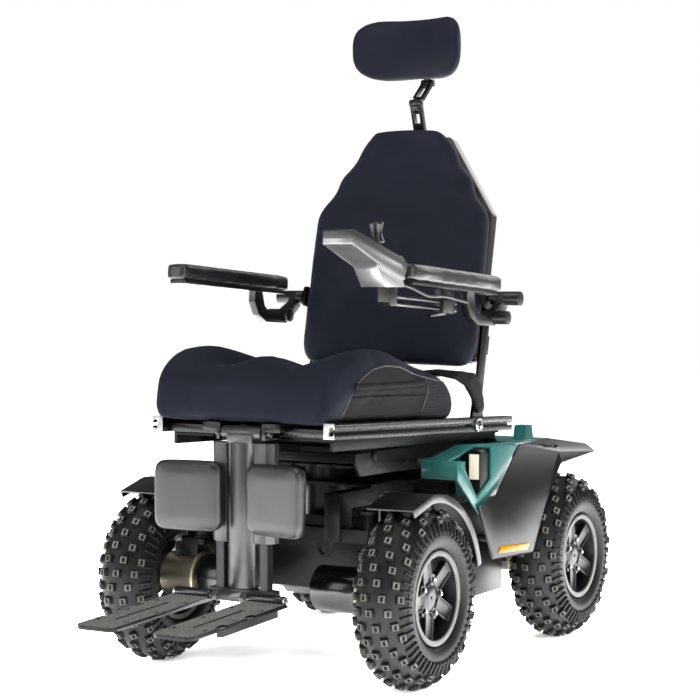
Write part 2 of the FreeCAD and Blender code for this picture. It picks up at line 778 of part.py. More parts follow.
def seat_cushion():
    h = cushion_height
    w = cushion_half_width
    front = cushion_front_y
    rear = cushion_rear_y
    sections = [
        cushion_section(front, w - 22, 34, 62, 56, 60),
        cushion_section(front + 12, w - 8, 52, 92, 82, 90),
        cushion_section(front + 45, w - 2, 76, 118, 94, 110),
        cushion_section(front + 100, w, 96, h - 6, 94, 118),
        cushion_section(front + 172, w, 104, h, 88, 112),
        cushion_section(front + 280, w, 96, h - 14, 78, 90),
        cushion_section(rear - 110, w - 1, 78, h - 40, 70, 74),
        cushion_section(rear - 30, w - 3, 62, h - 62, 62, 64),
        cushion_section(rear, w - 14, 44, h - 82, 52, 54),
    ]
    return rake_seat(lofted(sections))


def lap_belt():
    width = 44.0
    wall = 4.0
    x = seat_rail_inner_x + seat_rail_width
    route = [(x + 4.6, 84, 500, 24, 12), (x + 9, 52, 536, 31, 20), (x + 9, 22, 562, 36, 15),
             (x + 1, -10, 578, 43, 2), (x - 34, -24, 586, width, -4), (x - 90, -30, 580, width, -4),
             (x - 128, -32, 570, width, -4)]
    strips = []
    for start, end in zip(route, route[1:]):
        x0, y0, z0, across_y, across_z = start
        x1, y1, z1, next_y, next_z = end
        near = (x0, y0, z0)
        far = (x1, y1 + next_y, z1 + next_z)
        strips.append(prism([near, (x1, y1, z1), far], (wall, 0, wall)))
        strips.append(prism([near, far, (x0, y0 + across_y, z0 + across_z)], (wall, 0, wall)))
    x1, y1, z1 = route[-1][:3]
    buckle = box(x1 - 44, x1 + 12, y1 + 2, y1 + width - 2, z1 - 8, z1 + 6)
    buckle = fillet(buckle, 4.0, along("z"))
    return both_sides(fuse(*strips, buckle))


def belt_anchors():
    x = seat_rail_inner_x + seat_rail_width
    y = 102.0
    z = rake_point(y, seat_rail_bottom_z + seat_rail_height / 2)[1]
    plate = rod(15.0, (x + 0.2, y, z), (x + 3.2, y, z))
    slot = box(x - 1, x + 5, y - 9, y + 9, z + 4, z + 10)
    bolt = rod(6.0, (x + 3.2, y, z - 3), (x + 8.2, y, z - 3))
    return both_sides(fuse(cut(plate, slot), bolt))


# Backrest, laid out upright and then reclined about its pivot

pad_front_y = back_pivot_y - 91.0
pad_bottom_z = back_pivot_z + 70.0


def pad_section(z, half, depth, crown):
    front = pad_front_y
    back = front + depth
    soft = min(38.0, depth * 0.6)
    return Part.Wire([
        arc((-half + soft, front + 3, z), (0, front - crown, z), (half - soft, front + 3, z)),
        arc((half - soft, front + 3, z), (half - soft * 0.28, front + soft * 0.42, z),
            (half, front + soft, z)),
        line((half, front + soft, z), (half - 4, back, z)),
        line((half - 4, back, z), (-half + 4, back, z)),
        line((-half + 4, back, z), (-half, front + soft, z)),
        arc((-half, front + soft, z), (-half + soft * 0.28, front + soft * 0.42, z),
            (-half + soft, front + 3, z)),
    ])


def pad_half_at(height):
    if height <= pad_taper_start:
        return pad_half_width
    share = (height - pad_taper_start) / (pad_length - pad_taper_start)
    return pad_half_width - share * (pad_half_width - pad_top_half_width)


def back_pad():
    t = pad_thickness
    sections = []
    for height, inset, thinner, crown in (
            (0, 42, 12, 2), (10, 14, 4, 4), (34, 2, 0, 6), (80, 0, 0, 7), (140, 0, 0, 8),
            (200, 0, 0, 8), (260, 0, 0, 8), (305, 1, 0, 8), (331, 4, 0, 8), (358, 4, 0, 7),
            (395, 3, 0, 7), (435, 2, 0, 6), (474, 2, 2, 5), (502, 4, 8, 4), (521, 10, 22, 2)):
        sections.append(pad_section(pad_bottom_z + height, pad_half_at(height) - inset,
                                    t - thinner, crown))
    pad = lofted(sections)
    back = pad_front_y + t
    pad = cut(pad, box(-300, 300, back, back + 60, pad_bottom_z - 50, pad_bottom_z + 600))
    return recline_back(pad)


def back_outline(margin):
    w = pad_half_width - margin
    top = pad_top_half_width - margin * 0.5
    low = pad_bottom_z + 20.0
    knee = pad_bottom_z + pad_taper_start + 10
    high = pad_bottom_z + pad_length - margin * 0.6
    return [(-w, low), (w, low), (w, knee), (top, high), (-top, high), (-w, knee)]


shell_front_y = pad_front_y + pad_thickness + soft_gap
shell_back_y = shell_front_y + 30.0
shell_margin = 14.0
head_stem_y = shell_front_y + 15.0
head_stem_half_width = 13.0
head_stem_low_z = pad_bottom_z + pad_length - 96.0
head_stem_top_z = pad_bottom_z + pad_length + 14.0
head_stem_clearance = 0.1


def back_shell():
    outer = prism_y(back_outline(shell_margin), shell_front_y, shell_back_y)
    outer = fillet(outer, 14.0, along("y"))
    hollow = prism_y(back_outline(shell_margin + 20.0), shell_front_y + 4.0, shell_back_y - 4.0)
    low = pad_bottom_z + pad_length - 200
    slot = box(-16, 16, shell_front_y - 5, shell_back_y + 5, low, low + 60)
    slot_rim = box(-24, 24, shell_front_y + 3, shell_back_y - 3, low - 8, low + 68)
    gap = head_stem_clearance
    sleeve = box(-22, 22, shell_front_y + 3, shell_back_y - 3, head_stem_low_z + 10,
                 pad_bottom_z + pad_length - 12)
    bore = box(-head_stem_half_width - gap, head_stem_half_width + gap, head_stem_y - 6 - gap,
               head_stem_y + 6 + gap, head_stem_low_z - 20, pad_bottom_z + pad_length + 20)
    body = fuse(cut(outer, hollow), slot_rim, sleeve)
    return recline_back(cut(body, slot, bore))


arm_bracket_inner_x = 219.0
arm_bracket_wall = 6.0


def unrecline(y, z):
    angle = math.radians(recline)
    dy = y - back_pivot_y
    dz = z - back_pivot_z
    flat_y = back_pivot_y + dy * math.cos(angle) - dz * math.sin(angle)
    flat_z = back_pivot_z + dy * math.sin(angle) + dz * math.cos(angle)
    return flat_y, flat_z


def back_brackets():
    x0 = pad_half_width - shell_margin + 1.5
    x1 = x0 + 6.0
    cane = box(x0, x1, shell_front_y + 1, shell_back_y, back_pivot_z - 16, pad_bottom_z + 170)
    hole = rod(back_pin_radius + bearing_clearance, (100, back_pivot_y, back_pivot_z),
               (300, back_pivot_y, back_pivot_z))
    foot = rod(16.0, (x0, back_pivot_y, back_pivot_z), (x1, back_pivot_y, back_pivot_z))
    low_strap = box(150, x1, shell_back_y, shell_back_y + 6, pad_bottom_z + 40, pad_bottom_z + 80)
    arm_y, arm_z = unrecline(arm_pivot_y, arm_pivot_z)
    arm_strap = box(150, arm_bracket_inner_x + arm_bracket_wall, shell_back_y, shell_back_y + 6,
                    arm_z - 22, arm_z + 22)
    arm_plate = box(arm_bracket_inner_x, arm_bracket_inner_x + arm_bracket_wall, arm_y - 20,
                    shell_back_y + 6, arm_z - 22, arm_z + 22)
    arm_plate = fillet(arm_plate, 8.0, lambda edge: along("x")(edge) and edge.BoundBox.YMax < arm_y)
    arm_pin = rod(arm_pin_radius, (arm_bracket_inner_x, arm_y, arm_z),
                  (arm_pad_centre_x + 26.0, arm_y, arm_z))
    side = cut(fuse(cane, foot, low_strap, arm_strap, arm_plate, arm_pin), hole)
    head_z = pad_bottom_z + pad_length - 40.0
    head_plate = box(-26, 26, shell_back_y, shell_back_y + 6, head_z - 90, head_z)
    return recline_back(group(side, mirrored(side), head_plate))


def recline_pivots():
    x0 = pad_half_width - shell_margin - 6.5
    x1 = x0 + 7.0
    rail_top = seat_rail_bottom_z + seat_rail_height
    front_foot_z = rake_point(back_pivot_y - 26, rail_top)[1] + face_contact_gap
    rear_foot_z = rake_point(back_pivot_y + 26, rail_top)[1] + face_contact_gap
    plate = prism_x([(back_pivot_y - 26, front_foot_z), (back_pivot_y + 26, rear_foot_z),
                     (back_pivot_y + 14, back_pivot_z + 16), (back_pivot_y - 14, back_pivot_z + 16)],
                    x0, x1)
    pin = rod(back_pin_radius, (x0, back_pivot_y, back_pivot_z),
              (x1 + 9.5, back_pivot_y, back_pivot_z))
    return both_sides(fuse(plate, pin))


# Headrest bracket and pad

head_pad_pivot_y = 262.0
head_pad_pivot_z = 1212.0


def reclined_point(y, z):
    angle = math.radians(recline)
    dy = y - back_pivot_y
    dz = z - back_pivot_z
    return (back_pivot_y + dy * math.cos(angle) + dz * math.sin(angle),
            back_pivot_z - dy * math.sin(angle) + dz * math.cos(angle))


def head_lower_link():
    y0, z0 = reclined_point(head_stem_y, head_stem_top_z - 4)
    y1, z1 = head_elbow_y, head_elbow_z
    w = head_stem_half_width
    stem = recline_back(box(-w, w, head_stem_y - 6, head_stem_y + 6, head_stem_low_z,
                            head_stem_top_z))
    bar = prism_x([(y0 - 7, z0), (y0 + 7, z0), (y1 + 7, z1), (y1 - 7, z1)], -w, w)
    window = prism_x([(y0 - 10, z0 + 14), (y0 + 10, z0 + 14), (y1 + 10, z1 - 16),
                      (y1 - 10, z1 - 16)], -7, 7)
    barrel = rod(8.0, (-14, y1, z1), (14, y1, z1))
    fork_gap = rod(9.0, (-8, y1, z1), (8, y1, z1))
    pin = rod(head_pin_radius, (-15, y1, z1), (15, y1, z1))
    return fuse(cut(fuse(stem, bar, barrel), window, fork_gap), pin)


def head_upper_link():
    y0, z0 = head_elbow_y, head_elbow_z
    y1, z1 = head_pad_pivot_y, head_pad_pivot_z
    length = math.hypot(y1 - y0, z1 - z0)
    ny = -(z1 - z0) / length * 5.0
    nz = (y1 - y0) / length * 5.0
    bar = prism_x([(y0 + ny, z0 + nz), (y0 - ny, z0 - nz), (y1 - ny, z1 - nz), (y1 + ny, z1 + nz)],
                  -7.5, 7.5)
    share = 14.0 / length
    ya, za = y0 + (y1 - y0) * share, z0 + (z1 - z0) * share
    wide = prism_x([(ya + ny, za + nz), (ya - ny, za - nz), (y1 - ny, z1 - nz), (y1 + ny, z1 + nz)],
                   -13.0, 13.0)
    window = prism_x([(ya + 3 * ny, za + 3 * nz), (ya - 3 * ny, za - 3 * nz),
                      (y1 - 3 * ny, z1 - 3 * nz), (y1 + 3 * ny, z1 + 3 * nz)], -6.0, 6.0)
    window = cut(window, rod(17.0, (-20, y0, z0), (20, y0, z0)), rod(15.0, (-20, y1, z1), (20, y1, z1)))
    knuckle_eye = rod(8.0, (-7.5, y0, z0), (7.5, y0, z0))
    barrel = rod(8.0, (-14, y1, z1), (14, y1, z1))
    fork_gap = rod(9.0, (-8, y1, z1), (8, y1, z1))
    pin = rod(head_pin_radius, (-15, y1, z1), (15, y1, z1))
    hole = rod(head_pin_radius + bearing_clearance, (-20, y0, z0), (20, y0, z0))
    return fuse(cut(fuse(bar, wide, knuckle_eye, barrel), window, fork_gap, hole), pin)


def head_section(x, y_mid, height, depth):
    z_mid = 1281.0
    spots = []
    for step in range(16):
        a = 2 * math.pi * (step + 0.5) / 16
        reach_y = math.copysign(abs(math.cos(a)) ** 0.8, math.cos(a))
        reach_z = math.copysign(abs(math.sin(a)) ** 0.8, math.sin(a))
        spots.append(v(x, y_mid + reach_y * depth / 2, z_mid + reach_z * height / 2))
    curve = Part.BSplineCurve()
    curve.interpolate(Points=spots, PeriodicFlag=True)
    return Part.Wire([curve.toShape()])


def headrest_pad():
    w = head_pad_half_width
    h = head_pad_height
    d = head_pad_thickness
    sections = []
    ends = [(1.0, 0.34, 0.3), (0.96, 0.62, 0.56), (0.86, 0.82, 0.8), (0.7, 0.95, 0.93),
            (0.42, 1.0, 1.0)]
    left_half = [(-part, tall, deep) for part, tall, deep in ends]
    for part, tall, deep in left_half + [(0.0, 1.0, 1.0)] + ends[::-1]:
        wrap = 214.0 - 56.0 * abs(part) ** 2.2
        sections.append(head_section(part * w, wrap, h * tall, d * deep))
    cushion = lofted(sections)
    y1, z1 = head_pad_pivot_y, head_pad_pivot_z
    plate = box(-22, 22, 247.0, 251.0, z1 + 30, z1 + 110)
    neck = prism_x([(y1 - 5, z1), (y1 + 5, z1), (251.0, z1 + 50), (247.0, z1 + 50)], -7.5, 7.5)
    eye = rod(8.0, (-7.5, y1, z1), (7.5, y1, z1))
    hole = rod(head_pin_radius + bearing_clearance, (-20, y1, z1), (20, y1, z1))
    bracket = cut(fuse(plate, neck, eye), hole, cushion)
    return group(cushion, max(bracket.Solids, key=lambda solid: solid.Volume))


# Armrests, the left one made and the right one mirrored

def slope_arm(shape):
    return turned_x(shape, -arm_slope, 0.0, arm_pad_top_z - 23.0)


def arm_pad(front_y):
    top = arm_pad_top_z - 23.0
    x0 = arm_pad_centre_x - arm_pad_width / 2
    x1 = arm_pad_centre_x + arm_pad_width / 2
    pad = box(x0, x1, front_y, arm_pad_rear_y, top - arm_pad_height, top)
    pad = fillet(pad, 14.0, lambda edge: along("z")(edge) and edge.BoundBox.YMax < 0)
    pad = fillet(pad, 5.0, lambda edge: edge.BoundBox.ZMin > top - 1.0)
    return slope_arm(pad)


def arm_frame(front_y):
    top = arm_pad_top_z - 23.0 - arm_pad_height
    channel = slope_arm(box(arm_pad_centre_x - 19, arm_pad_centre_x + 19, front_y + 14,
                            arm_pad_rear_y - 8, top - 8, top))
    y, z = arm_pivot_y, arm_pivot_z
    x0 = 248.0
    x1 = 264.0
    casting = prism_x([(-56, 753), (-28, 752), (-20, 722), (0, 706), (46, 702), (70, 716),
                       (y - 18, z - 8), (y - 12, z + 14), (y + 12, z + 14), (y + 18, z - 4),
                       (y + 4, z - 22), (84, 690), (66, 682), (-12, 686), (-42, 702),
                       (-58, 730)], x0, x1)
    knob = rod(15.0, (232, y, z), (x1 + 34, y, z))
    stop_knob = rod(14.0, (x0 - 10, 68, 699), (x1 + 30, 68, 699))
    bore = rod(arm_pin_radius + bearing_clearance, (200, y, z), (arm_pad_centre_x + 27.0, y, z))
    return cut(fuse(channel, casting, knob, stop_knob), bore)


# Leg rest: column, sliding foot frame and two folding footplates

leg_rod_y = -470.0


def column_outline(half, front, bulge, back, z):
    edges = [
        line((-half, back, z), (-half, front, z)),
        arc((-half, front, z), (0, front - bulge, z), (half, front, z)),
        line((half, front, z), (half, back, z)),
        line((half, back, z), (-half, back, z)),
    ]
    return Part.Face(Part.Wire(edges))


def leg_column():
    r = leg_column_half_width
    front = leg_column_front_y
    back = leg_column_back_y
    low = leg_column_bottom_z
    top = leg_column_top_z
    w = 4.0
    outer = column_outline(r, front, leg_column_bulge, back, low).extrude(v(0, 0, top - low))
    inner = column_outline(r - w, front + 2.0, leg_column_bulge - w, back - w, low - 1.0)
    tube = cut(outer, inner.extrude(v(0, 0, top - low - w)))
    out = leg_channel_outer_x
    channel = prism_z([(r, -484.0), (out - 12, -484.0), (out, -472.0), (out, -456.0), (r, -456.0)],
                      leg_channel_bottom_z, top)
    reach = leg_rod_half_width + leg_rod_clearance
    bore = box(leg_rod_x - reach, leg_rod_x + reach, leg_rod_y - reach, leg_rod_y + reach,
               leg_channel_bottom_z - 1.0, top - 8.0)
    side = cut(channel, bore)
    pad_arm = box(out - 1.0, 120.0, leg_rod_y - 4, leg_rod_y + 4, 350.0, 382.0)
    pad_plate = turned_z(box(56.0, 146.0, -6.0, 0.0, 336.0, 396.0))
    arm_post = prism_z([(112, leg_rod_y - 4), (120, leg_rod_y - 4), (120, -499), (112, -499)],
                       350.0, 382.0)
    carrier = fuse(pad_arm, pad_plate, arm_post)
    y1, z1 = leg_pivot_y, leg_pivot_z
    block = prism_x([(y1 - 18, top), (y1 - 18, z1 - 3), (y1 - 13, z1 + 3), (y1 + 22, z1 + 3),
                     (y1 + 22, top)], -28, 28)
    block = fuse(block, rod(14.0, (-44, y1, z1), (44, y1, z1)))
    pin = rod(leg_pin_radius, (-62, y1, z1), (62, y1, z1))
    return fuse(tube, side, mirrored(side), carrier, mirrored(carrier), block, pin)


calf_pad_angle = 10.4


def turned_z(shape):
    copy = shape.copy()
    copy.translate(v(0, calf_pad_front_y + calf_pad_thickness + 6.0 + soft_gap, 0))
    copy.rotate(v(calf_pad_inner_x, calf_pad_front_y, 0), v(0, 0, 1), -calf_pad_angle)
    return copy


def calf_pads():
    x0, x1 = calf_pad_inner_x, calf_pad_outer_x + 2.5
    y0 = calf_pad_front_y
    pad = box(x0, x1, y0, y0 + calf_pad_thickness, calf_pad_bottom_z, calf_pad_top_z)
    pad = fillet(pad, 20.0, along("y"))
    pad = fillet(pad, 9.0, lambda edge: edge.BoundBox.YMax < y0 + 1.0)
    pad.rotate(v(x0, y0, 0), v(0, 0, 1), -calf_pad_angle)
    return both_sides(pad)


def leg_slider():
    bar_top = leg_column_bottom_z - 3.0
    half = leg_rod_half_width
    bar = box(-72, 72, leg_rod_y - 14, leg_rod_y + 14, bar_top - 15, bar_top)
    rods = []
    for x in (-leg_rod_x, leg_rod_x):
        rods.append(box(x - half, x + half, leg_rod_y - half, leg_rod_y + half, bar_top - 4, 455.0))
    y, z = foot_hinge_y, foot_hinge_z
    lug = prism_x([(leg_rod_y, bar_top), (y, z + 9), (y - 10, z), (y - 6, z - 9),
                   (leg_rod_y, bar_top - 15)], 26, 39)
    pin = rod(foot_pin_radius, (30, y, z), (124, y, z))
    end = rod(foot_pin_radius + 3.0, (123.0, y, z), (126.0, y, z))
    side = fuse(lug, pin, end)
    return fuse(bar, *rods, side, mirrored(side))


def footplate():
    y, z = foot_hinge_y, foot_hinge_z
    top = 177.0
    low = top - footplate_thickness
    x0 = footplate_centre_x - footplate_width / 2
    x1 = footplate_centre_x + footplate_width / 2
    tip = footplate_tip_y
    outline = [(x1, y + 4), (42, y + 4), (42, y - 16), (x0, y - 16), (x0, tip), (x1, tip)]
    plate = prism_z(outline, low, top)
    plate = fillet(plate, footplate_corner,
                   lambda edge: along("z")(edge) and edge.BoundBox.YMax < tip + 1.0)
    middle_slot = box(footplate_centre_x - 3, footplate_centre_x + 3, -760, -600, low - 1, top + 1)
    holes = []
    for hole_y in (-590, -680, -770):
        for x in (x0 + 10, x1 - 10):
            holes.append(rod(4.5, (x, hole_y, low - 1), (x, hole_y, top + 1)))
    notch = []
    for notch_y in (-640, -730):
        notch.append(box(x1 - 9, x1 + 1, notch_y - 12, notch_y + 12, top - 4, top + 1))
    plate = cut(plate, middle_slot, *holes, *notch)
    rib = box(x1 - 28, x1 - 16, y - 190, y - 6, low - 18, low)
    tube = rod(foot_tube_radius, (42, y, z), (122.5, y, z))
    bore = rod(foot_pin_radius + bearing_clearance, (30, y, z), (130, y, z))
    clear = rod(foot_pin_radius + 4.0, (122.6, y, z), (150, y, z))
    return turned_x(cut(fuse(plate, rib, tube), bore, clear), footplate_droop, y, z)


# Hand controller on the left armrest

controller_x = 245.5
slab_drop = (870.0 - 823.0) / (533.0 - 360.0)
slab_angle = math.degrees(math.atan(slab_drop))


def controller_lower():
    x0, x1 = controller_x - 31, controller_x + 31
    tray = prism_x([(-533, 853), (-533, 842), (-428, 803), (-338, 777), (-336, 788),
                    (-352, 806)], x0, x1)
    foot = prism_x([(-440, 808), (-428, 796), (-404, 764), (-330, 764), (-337, 780),
                    (-360, 800)], x0 + 5, x1 - 5)
    x, y, z = stick_axis_point()
    pocket = rod(19.0, (x, y, z - 12.0), (x, y, z + 20.0))
    return cut(fuse(tray, foot), pocket)


def stick_axis_point():
    return controller_x, stick_y, stick_z - 4.0


def controller_upper():
    x0, x1 = controller_x - 31, controller_x + 31
    gap = soft_gap
    hood = prism_x([(-533, 870), (-533, 853 + gap), (-352, 806 + gap), (-335.6, 788 + gap),
                    (-326, 806), (-350, 823), (-360, 823)], x0, x1)
    hood = fillet(hood, 4.0, lambda edge: along("x")(edge) and edge.BoundBox.ZMin > 809.0)
    x, y, z = stick_axis_point()
    well = Part.makeCone(17.5, 21.5, 26.0, v(x, y, z - 11.0))
    pin_holes = rod(gimbal_pin_radius + bearing_clearance, (x - 22, y, z), (x + 22, y, z))
    cuts = [well, pin_holes]
    for bx, by in button_spots():
        cuts.append(button_solid(bx, by, button_radius + 0.15, 8.0, 4.0))
    return cut(hood, *cuts)


button_radius = 5.0


def button_spots():
    return [(controller_x - 14, -462.0), (controller_x + 14, -462.0),
            (controller_x - 14, -438.0), (controller_x + 14, -438.0)]


def top_z(y):
    return 870.0 - slab_drop * (y + 533.0)


def button_normal():
    a = math.radians(slab_angle)
    return v(0, math.sin(a), math.cos(a))


def button_solid(x, y, radius, depth, proud):
    normal = button_normal()
    base = v(x, y, top_z(y)) - normal * depth
    return Part.makeCylinder(radius, depth + proud, base, normal)


def joystick_gimbal():
    x, y, z = stick_axis_point()
    ring = cut(rod(14.0, (x, y, z - 3.5), (x, y, z + 3.5)), rod(9.5, (x, y, z - 5), (x, y, z + 5)))
    pin = rod(gimbal_pin_radius, (x - 21, y, z), (x - 10, y, z))
    other = rod(gimbal_pin_radius, (x + 10, y, z), (x + 21, y, z))
    holes = rod(gimbal_pin_radius + bearing_clearance, (x, y - 16, z), (x, y + 16, z))
    return cut(fuse(ring, pin, other), holes)


def joystick():
    x, y, z = stick_axis_point()
    shaft = rod(4.0, (x, y, z - 5), (x, y, z + 30))
    cross = rod(gimbal_pin_radius, (x, y - 13.5, z), (x, y + 13.5, z))
    gaiter = Part.makeCone(9.0, 13.0, 6.0, v(x, y, z + 8.5))
    collar = Part.makeCone(13.0, 9.0, 10.0, v(x, y, z + 14.5))
    outline = [(0, 24.5), (14.5, 24.5), (15.5, 27), (12, 36), (10.5, 44), (12.5, 55), (13.5, 60),
               (12, 63), (0, 63)]
    wire = Part.makePolygon([v(x + r, y, z + h) for r, h in outline + outline[:1]])
    knob = Part.Face(wire).revolve(v(x, y, z), v(0, 0, 1), 360)
    return fuse(shaft, cross, gaiter, collar, knob)


def controller_mount():
    rod_front = -352.0
    rod_rear = -62.0
    top = arm_pad_top_z - 23.0 - arm_pad_height - 8.0
    rods = []
    for z in (711.0, 725.0):
        rods.append(rod(4.0, (controller_x - 4, rod_front, z), (controller_x - 4, rod_rear, z)))
    clamp = box(controller_x - 14, controller_x + 6, -132, -84, 703, top)
    lever = prism_x([(-178, 697), (-172, 693), (-108, 700), (-108, 706), (-130, 706)],
                    controller_x - 8, controller_x + 0)
    arm_side = slope_arm(fuse(clamp, lever, *rods))
    head = prism_x([(-364, 763.6), (-362, 736), (-354, 728), (-332, 728), (-328, 763.6)],
                   controller_x - 14, controller_x + 10)
    return fuse(head, arm_side)


def controller_lead():
    radius = 3.0
    x = controller_x + 22.0
    points = [(x, -330, 767.5), (x, -302, 764), (x + 1, -268, 754), (x + 1, -225, 744),
              (x + 1, -180, 746), (x, -135, 742), (x - 1, -92, 735), (x - 1, -61, 732)]
    return sweep_route(points, radius)


def sweep_route(points, radius):
    spots = [Vector(*p) for p in points]
    edges = []
    last = spots[0]
    for index in range(1, len(spots) - 1):
        before = spots[index] - spots[index - 1]
        after = spots[index + 1] - spots[index]
        half_turn = before.getAngle(after) / 2
        bend = 0.45 * min(before.Length, after.Length) / math.tan(half_turn)
        trim = 0.45 * min(before.Length, after.Length)
        before.normalize()
        after.normalize()
        start = spots[index] - before * trim
        end = spots[index] + after * trim
        inward = after - before
        inward.normalize()
        centre = spots[index] + inward * (bend / math.cos(half_turn))
        middle = centre - inward * bend
        print("lead bend radius", round(bend, 1))
        edges.append(line(last, start))
        edges.append(Part.Arc(start, middle, end).toShape())
        last = end
    edges.append(line(last, spots[-1]))
    path = Part.Wire(edges)
    ring = Part.Wire([Part.makeCircle(radius, spots[0], spots[1] - spots[0])])
    tube = path.makePipeShell([ring], True, False)
    area = math.pi * radius ** 2
    print("lead volume", round(tube.Volume), "section times length", round(area * path.Length))
    return tube


# Write every sub-part

def write_all():
    tyre_shape = tyre()
    rim_shape = rim()
    for name, side, axle_y in (("front_left", 1, front_axle_y), ("front_right", -1, front_axle_y),
                               ("rear_left", 1, rear_axle_y), ("rear_right", -1, rear_axle_y)):
        save("tyre_" + name, place_wheel(tyre_shape, side, axle_y))
        save("rim_" + name, place_wheel(rim_shape, side, axle_y))
    front_drive = drive_unit(front_axle_y)
    save("front_drive_left", front_drive)
    save("front_drive_right", mirrored(front_drive))
    save("rear_drives", both_sides(drive_unit(rear_axle_y)))
    knuckle_shape = knuckle()
    save("knuckle_left", knuckle_shape)
    save("knuckle_right", mirrored(knuckle_shape))
    fender_shape = fender()
    save("fender_left", fender_shape)
    save("fender_right", mirrored(fender_shape))
    save("tie_rod", tie_rod())
    save("chassis_frame", chassis_frame())
    save("battery_case", battery_case())
    save("batteries", batteries())
    save("power_module", power_module())
    save("seat_post", seat_post())
    save("body_shroud", body_shroud())
    fairing = side_fairing()
    save("fairing_left", fairing)
    save("fairing_right", mirrored(fairing))
    save("headlamp_housings", both_sides(headlamp_housing()))
    save("headlamp_lenses", both_sides(headlamp_lens()))
    save("side_reflectors", both_sides(side_reflector()))
    save("lift_carriage", lift_carriage())
    save("seat_rails", seat_rails())
    save("recline_pivots", recline_pivots())
    save("seat_pan", seat_pan())
    save("seat_cushion", seat_cushion())
    save("lap_belt", lap_belt())
    save("belt_anchors", belt_anchors())
    save("back_pad", back_pad())
    save("back_shell", back_shell())
    save("back_brackets", back_brackets())
    save("headrest_lower_link", head_lower_link())
    save("headrest_upper_link", head_upper_link())
    save("headrest_pad", headrest_pad())
    save("arm_frame_left", arm_frame(arm_pad_left_front_y))
    save("arm_frame_right", mirrored(arm_frame(arm_pad_right_front_y)))
    save("arm_pad_left", arm_pad(arm_pad_left_front_y))
    save("arm_pad_right", mirrored(arm_pad(arm_pad_right_front_y)))
    save("leg_column", leg_column())
    save("calf_pads", calf_pads())
    save("leg_slider", leg_slider())
    plate = footplate()
    save("footplate_left", plate)
    save("footplate_right", mirrored(plate))
    save("controller_lower", controller_lower())
    save("controller_upper", controller_upper())
    save("joystick_gimbal", joystick_gimbal())
    save("joystick", joystick())
    save("controller_mount", controller_mount())
    save("controller_lead", controller_lead())
    for index, (x, y) in enumerate(button_spots()):
        save("button_" + "abcd"[index], button_solid(x, y, button_radius, 5.0, 1.6))


write_all()
print("length shift", length_shift)
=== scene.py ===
import bmesh
import bpy
import json
import math
from mathutils import Matrix, Vector
from mathutils.bvhtree import BVHTree


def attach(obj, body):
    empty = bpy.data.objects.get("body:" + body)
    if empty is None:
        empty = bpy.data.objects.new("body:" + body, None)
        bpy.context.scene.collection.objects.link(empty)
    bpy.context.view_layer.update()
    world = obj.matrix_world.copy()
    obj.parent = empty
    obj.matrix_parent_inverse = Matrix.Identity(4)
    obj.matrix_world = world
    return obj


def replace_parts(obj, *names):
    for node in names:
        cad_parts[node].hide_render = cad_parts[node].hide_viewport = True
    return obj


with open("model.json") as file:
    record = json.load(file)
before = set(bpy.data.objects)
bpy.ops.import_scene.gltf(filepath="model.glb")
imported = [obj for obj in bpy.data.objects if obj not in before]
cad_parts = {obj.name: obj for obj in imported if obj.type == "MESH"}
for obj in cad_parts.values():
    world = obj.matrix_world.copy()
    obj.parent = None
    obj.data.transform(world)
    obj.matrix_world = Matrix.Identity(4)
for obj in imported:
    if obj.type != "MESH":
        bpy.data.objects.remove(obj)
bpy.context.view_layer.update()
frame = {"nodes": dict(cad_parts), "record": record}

# Points are given in millimetres from the floor under the middle of the wheelbase,
# the sitter's left at +X and the front at -Y. The chair's own origin is 161.0 mm
# further forward, under the middle of its length.
DATUM_SHIFT = 161.0


def mm(x, y, z):
    return Vector((x, y + DATUM_SHIFT, z)) / 1000.0


def colour(hex_code):
    parts = [int(hex_code[i:i + 2], 16) / 255.0 for i in (1, 3, 5)]
    linear = [p / 12.92 if p <= 0.04045 else ((p + 0.055) / 1.055) ** 2.4 for p in parts]
    return (*linear, 1.0)


def add(tree, kind, links=None, **settings):
    node = tree.nodes.new(kind)
    for name, value in settings.items():
        setattr(node, name, value)
    for socket, source in (links or {}).items():
        if isinstance(source, bpy.types.NodeSocket):
            tree.links.new(source, node.inputs[socket])
        else:
            node.inputs[socket].default_value = source
    return node


def start(name):
    material = bpy.data.materials.new(name)
    material.use_nodes = True
    tree = material.node_tree
    return material, tree, tree.nodes["Principled BSDF"]


def spot(tree, scale=(1.0, 1.0, 1.0)):
    place = add(tree, "ShaderNodeTexCoord")
    turned = add(tree, "ShaderNodeMapping", {"Vector": place.outputs["Object"], "Scale": scale})
    return turned.outputs["Vector"]


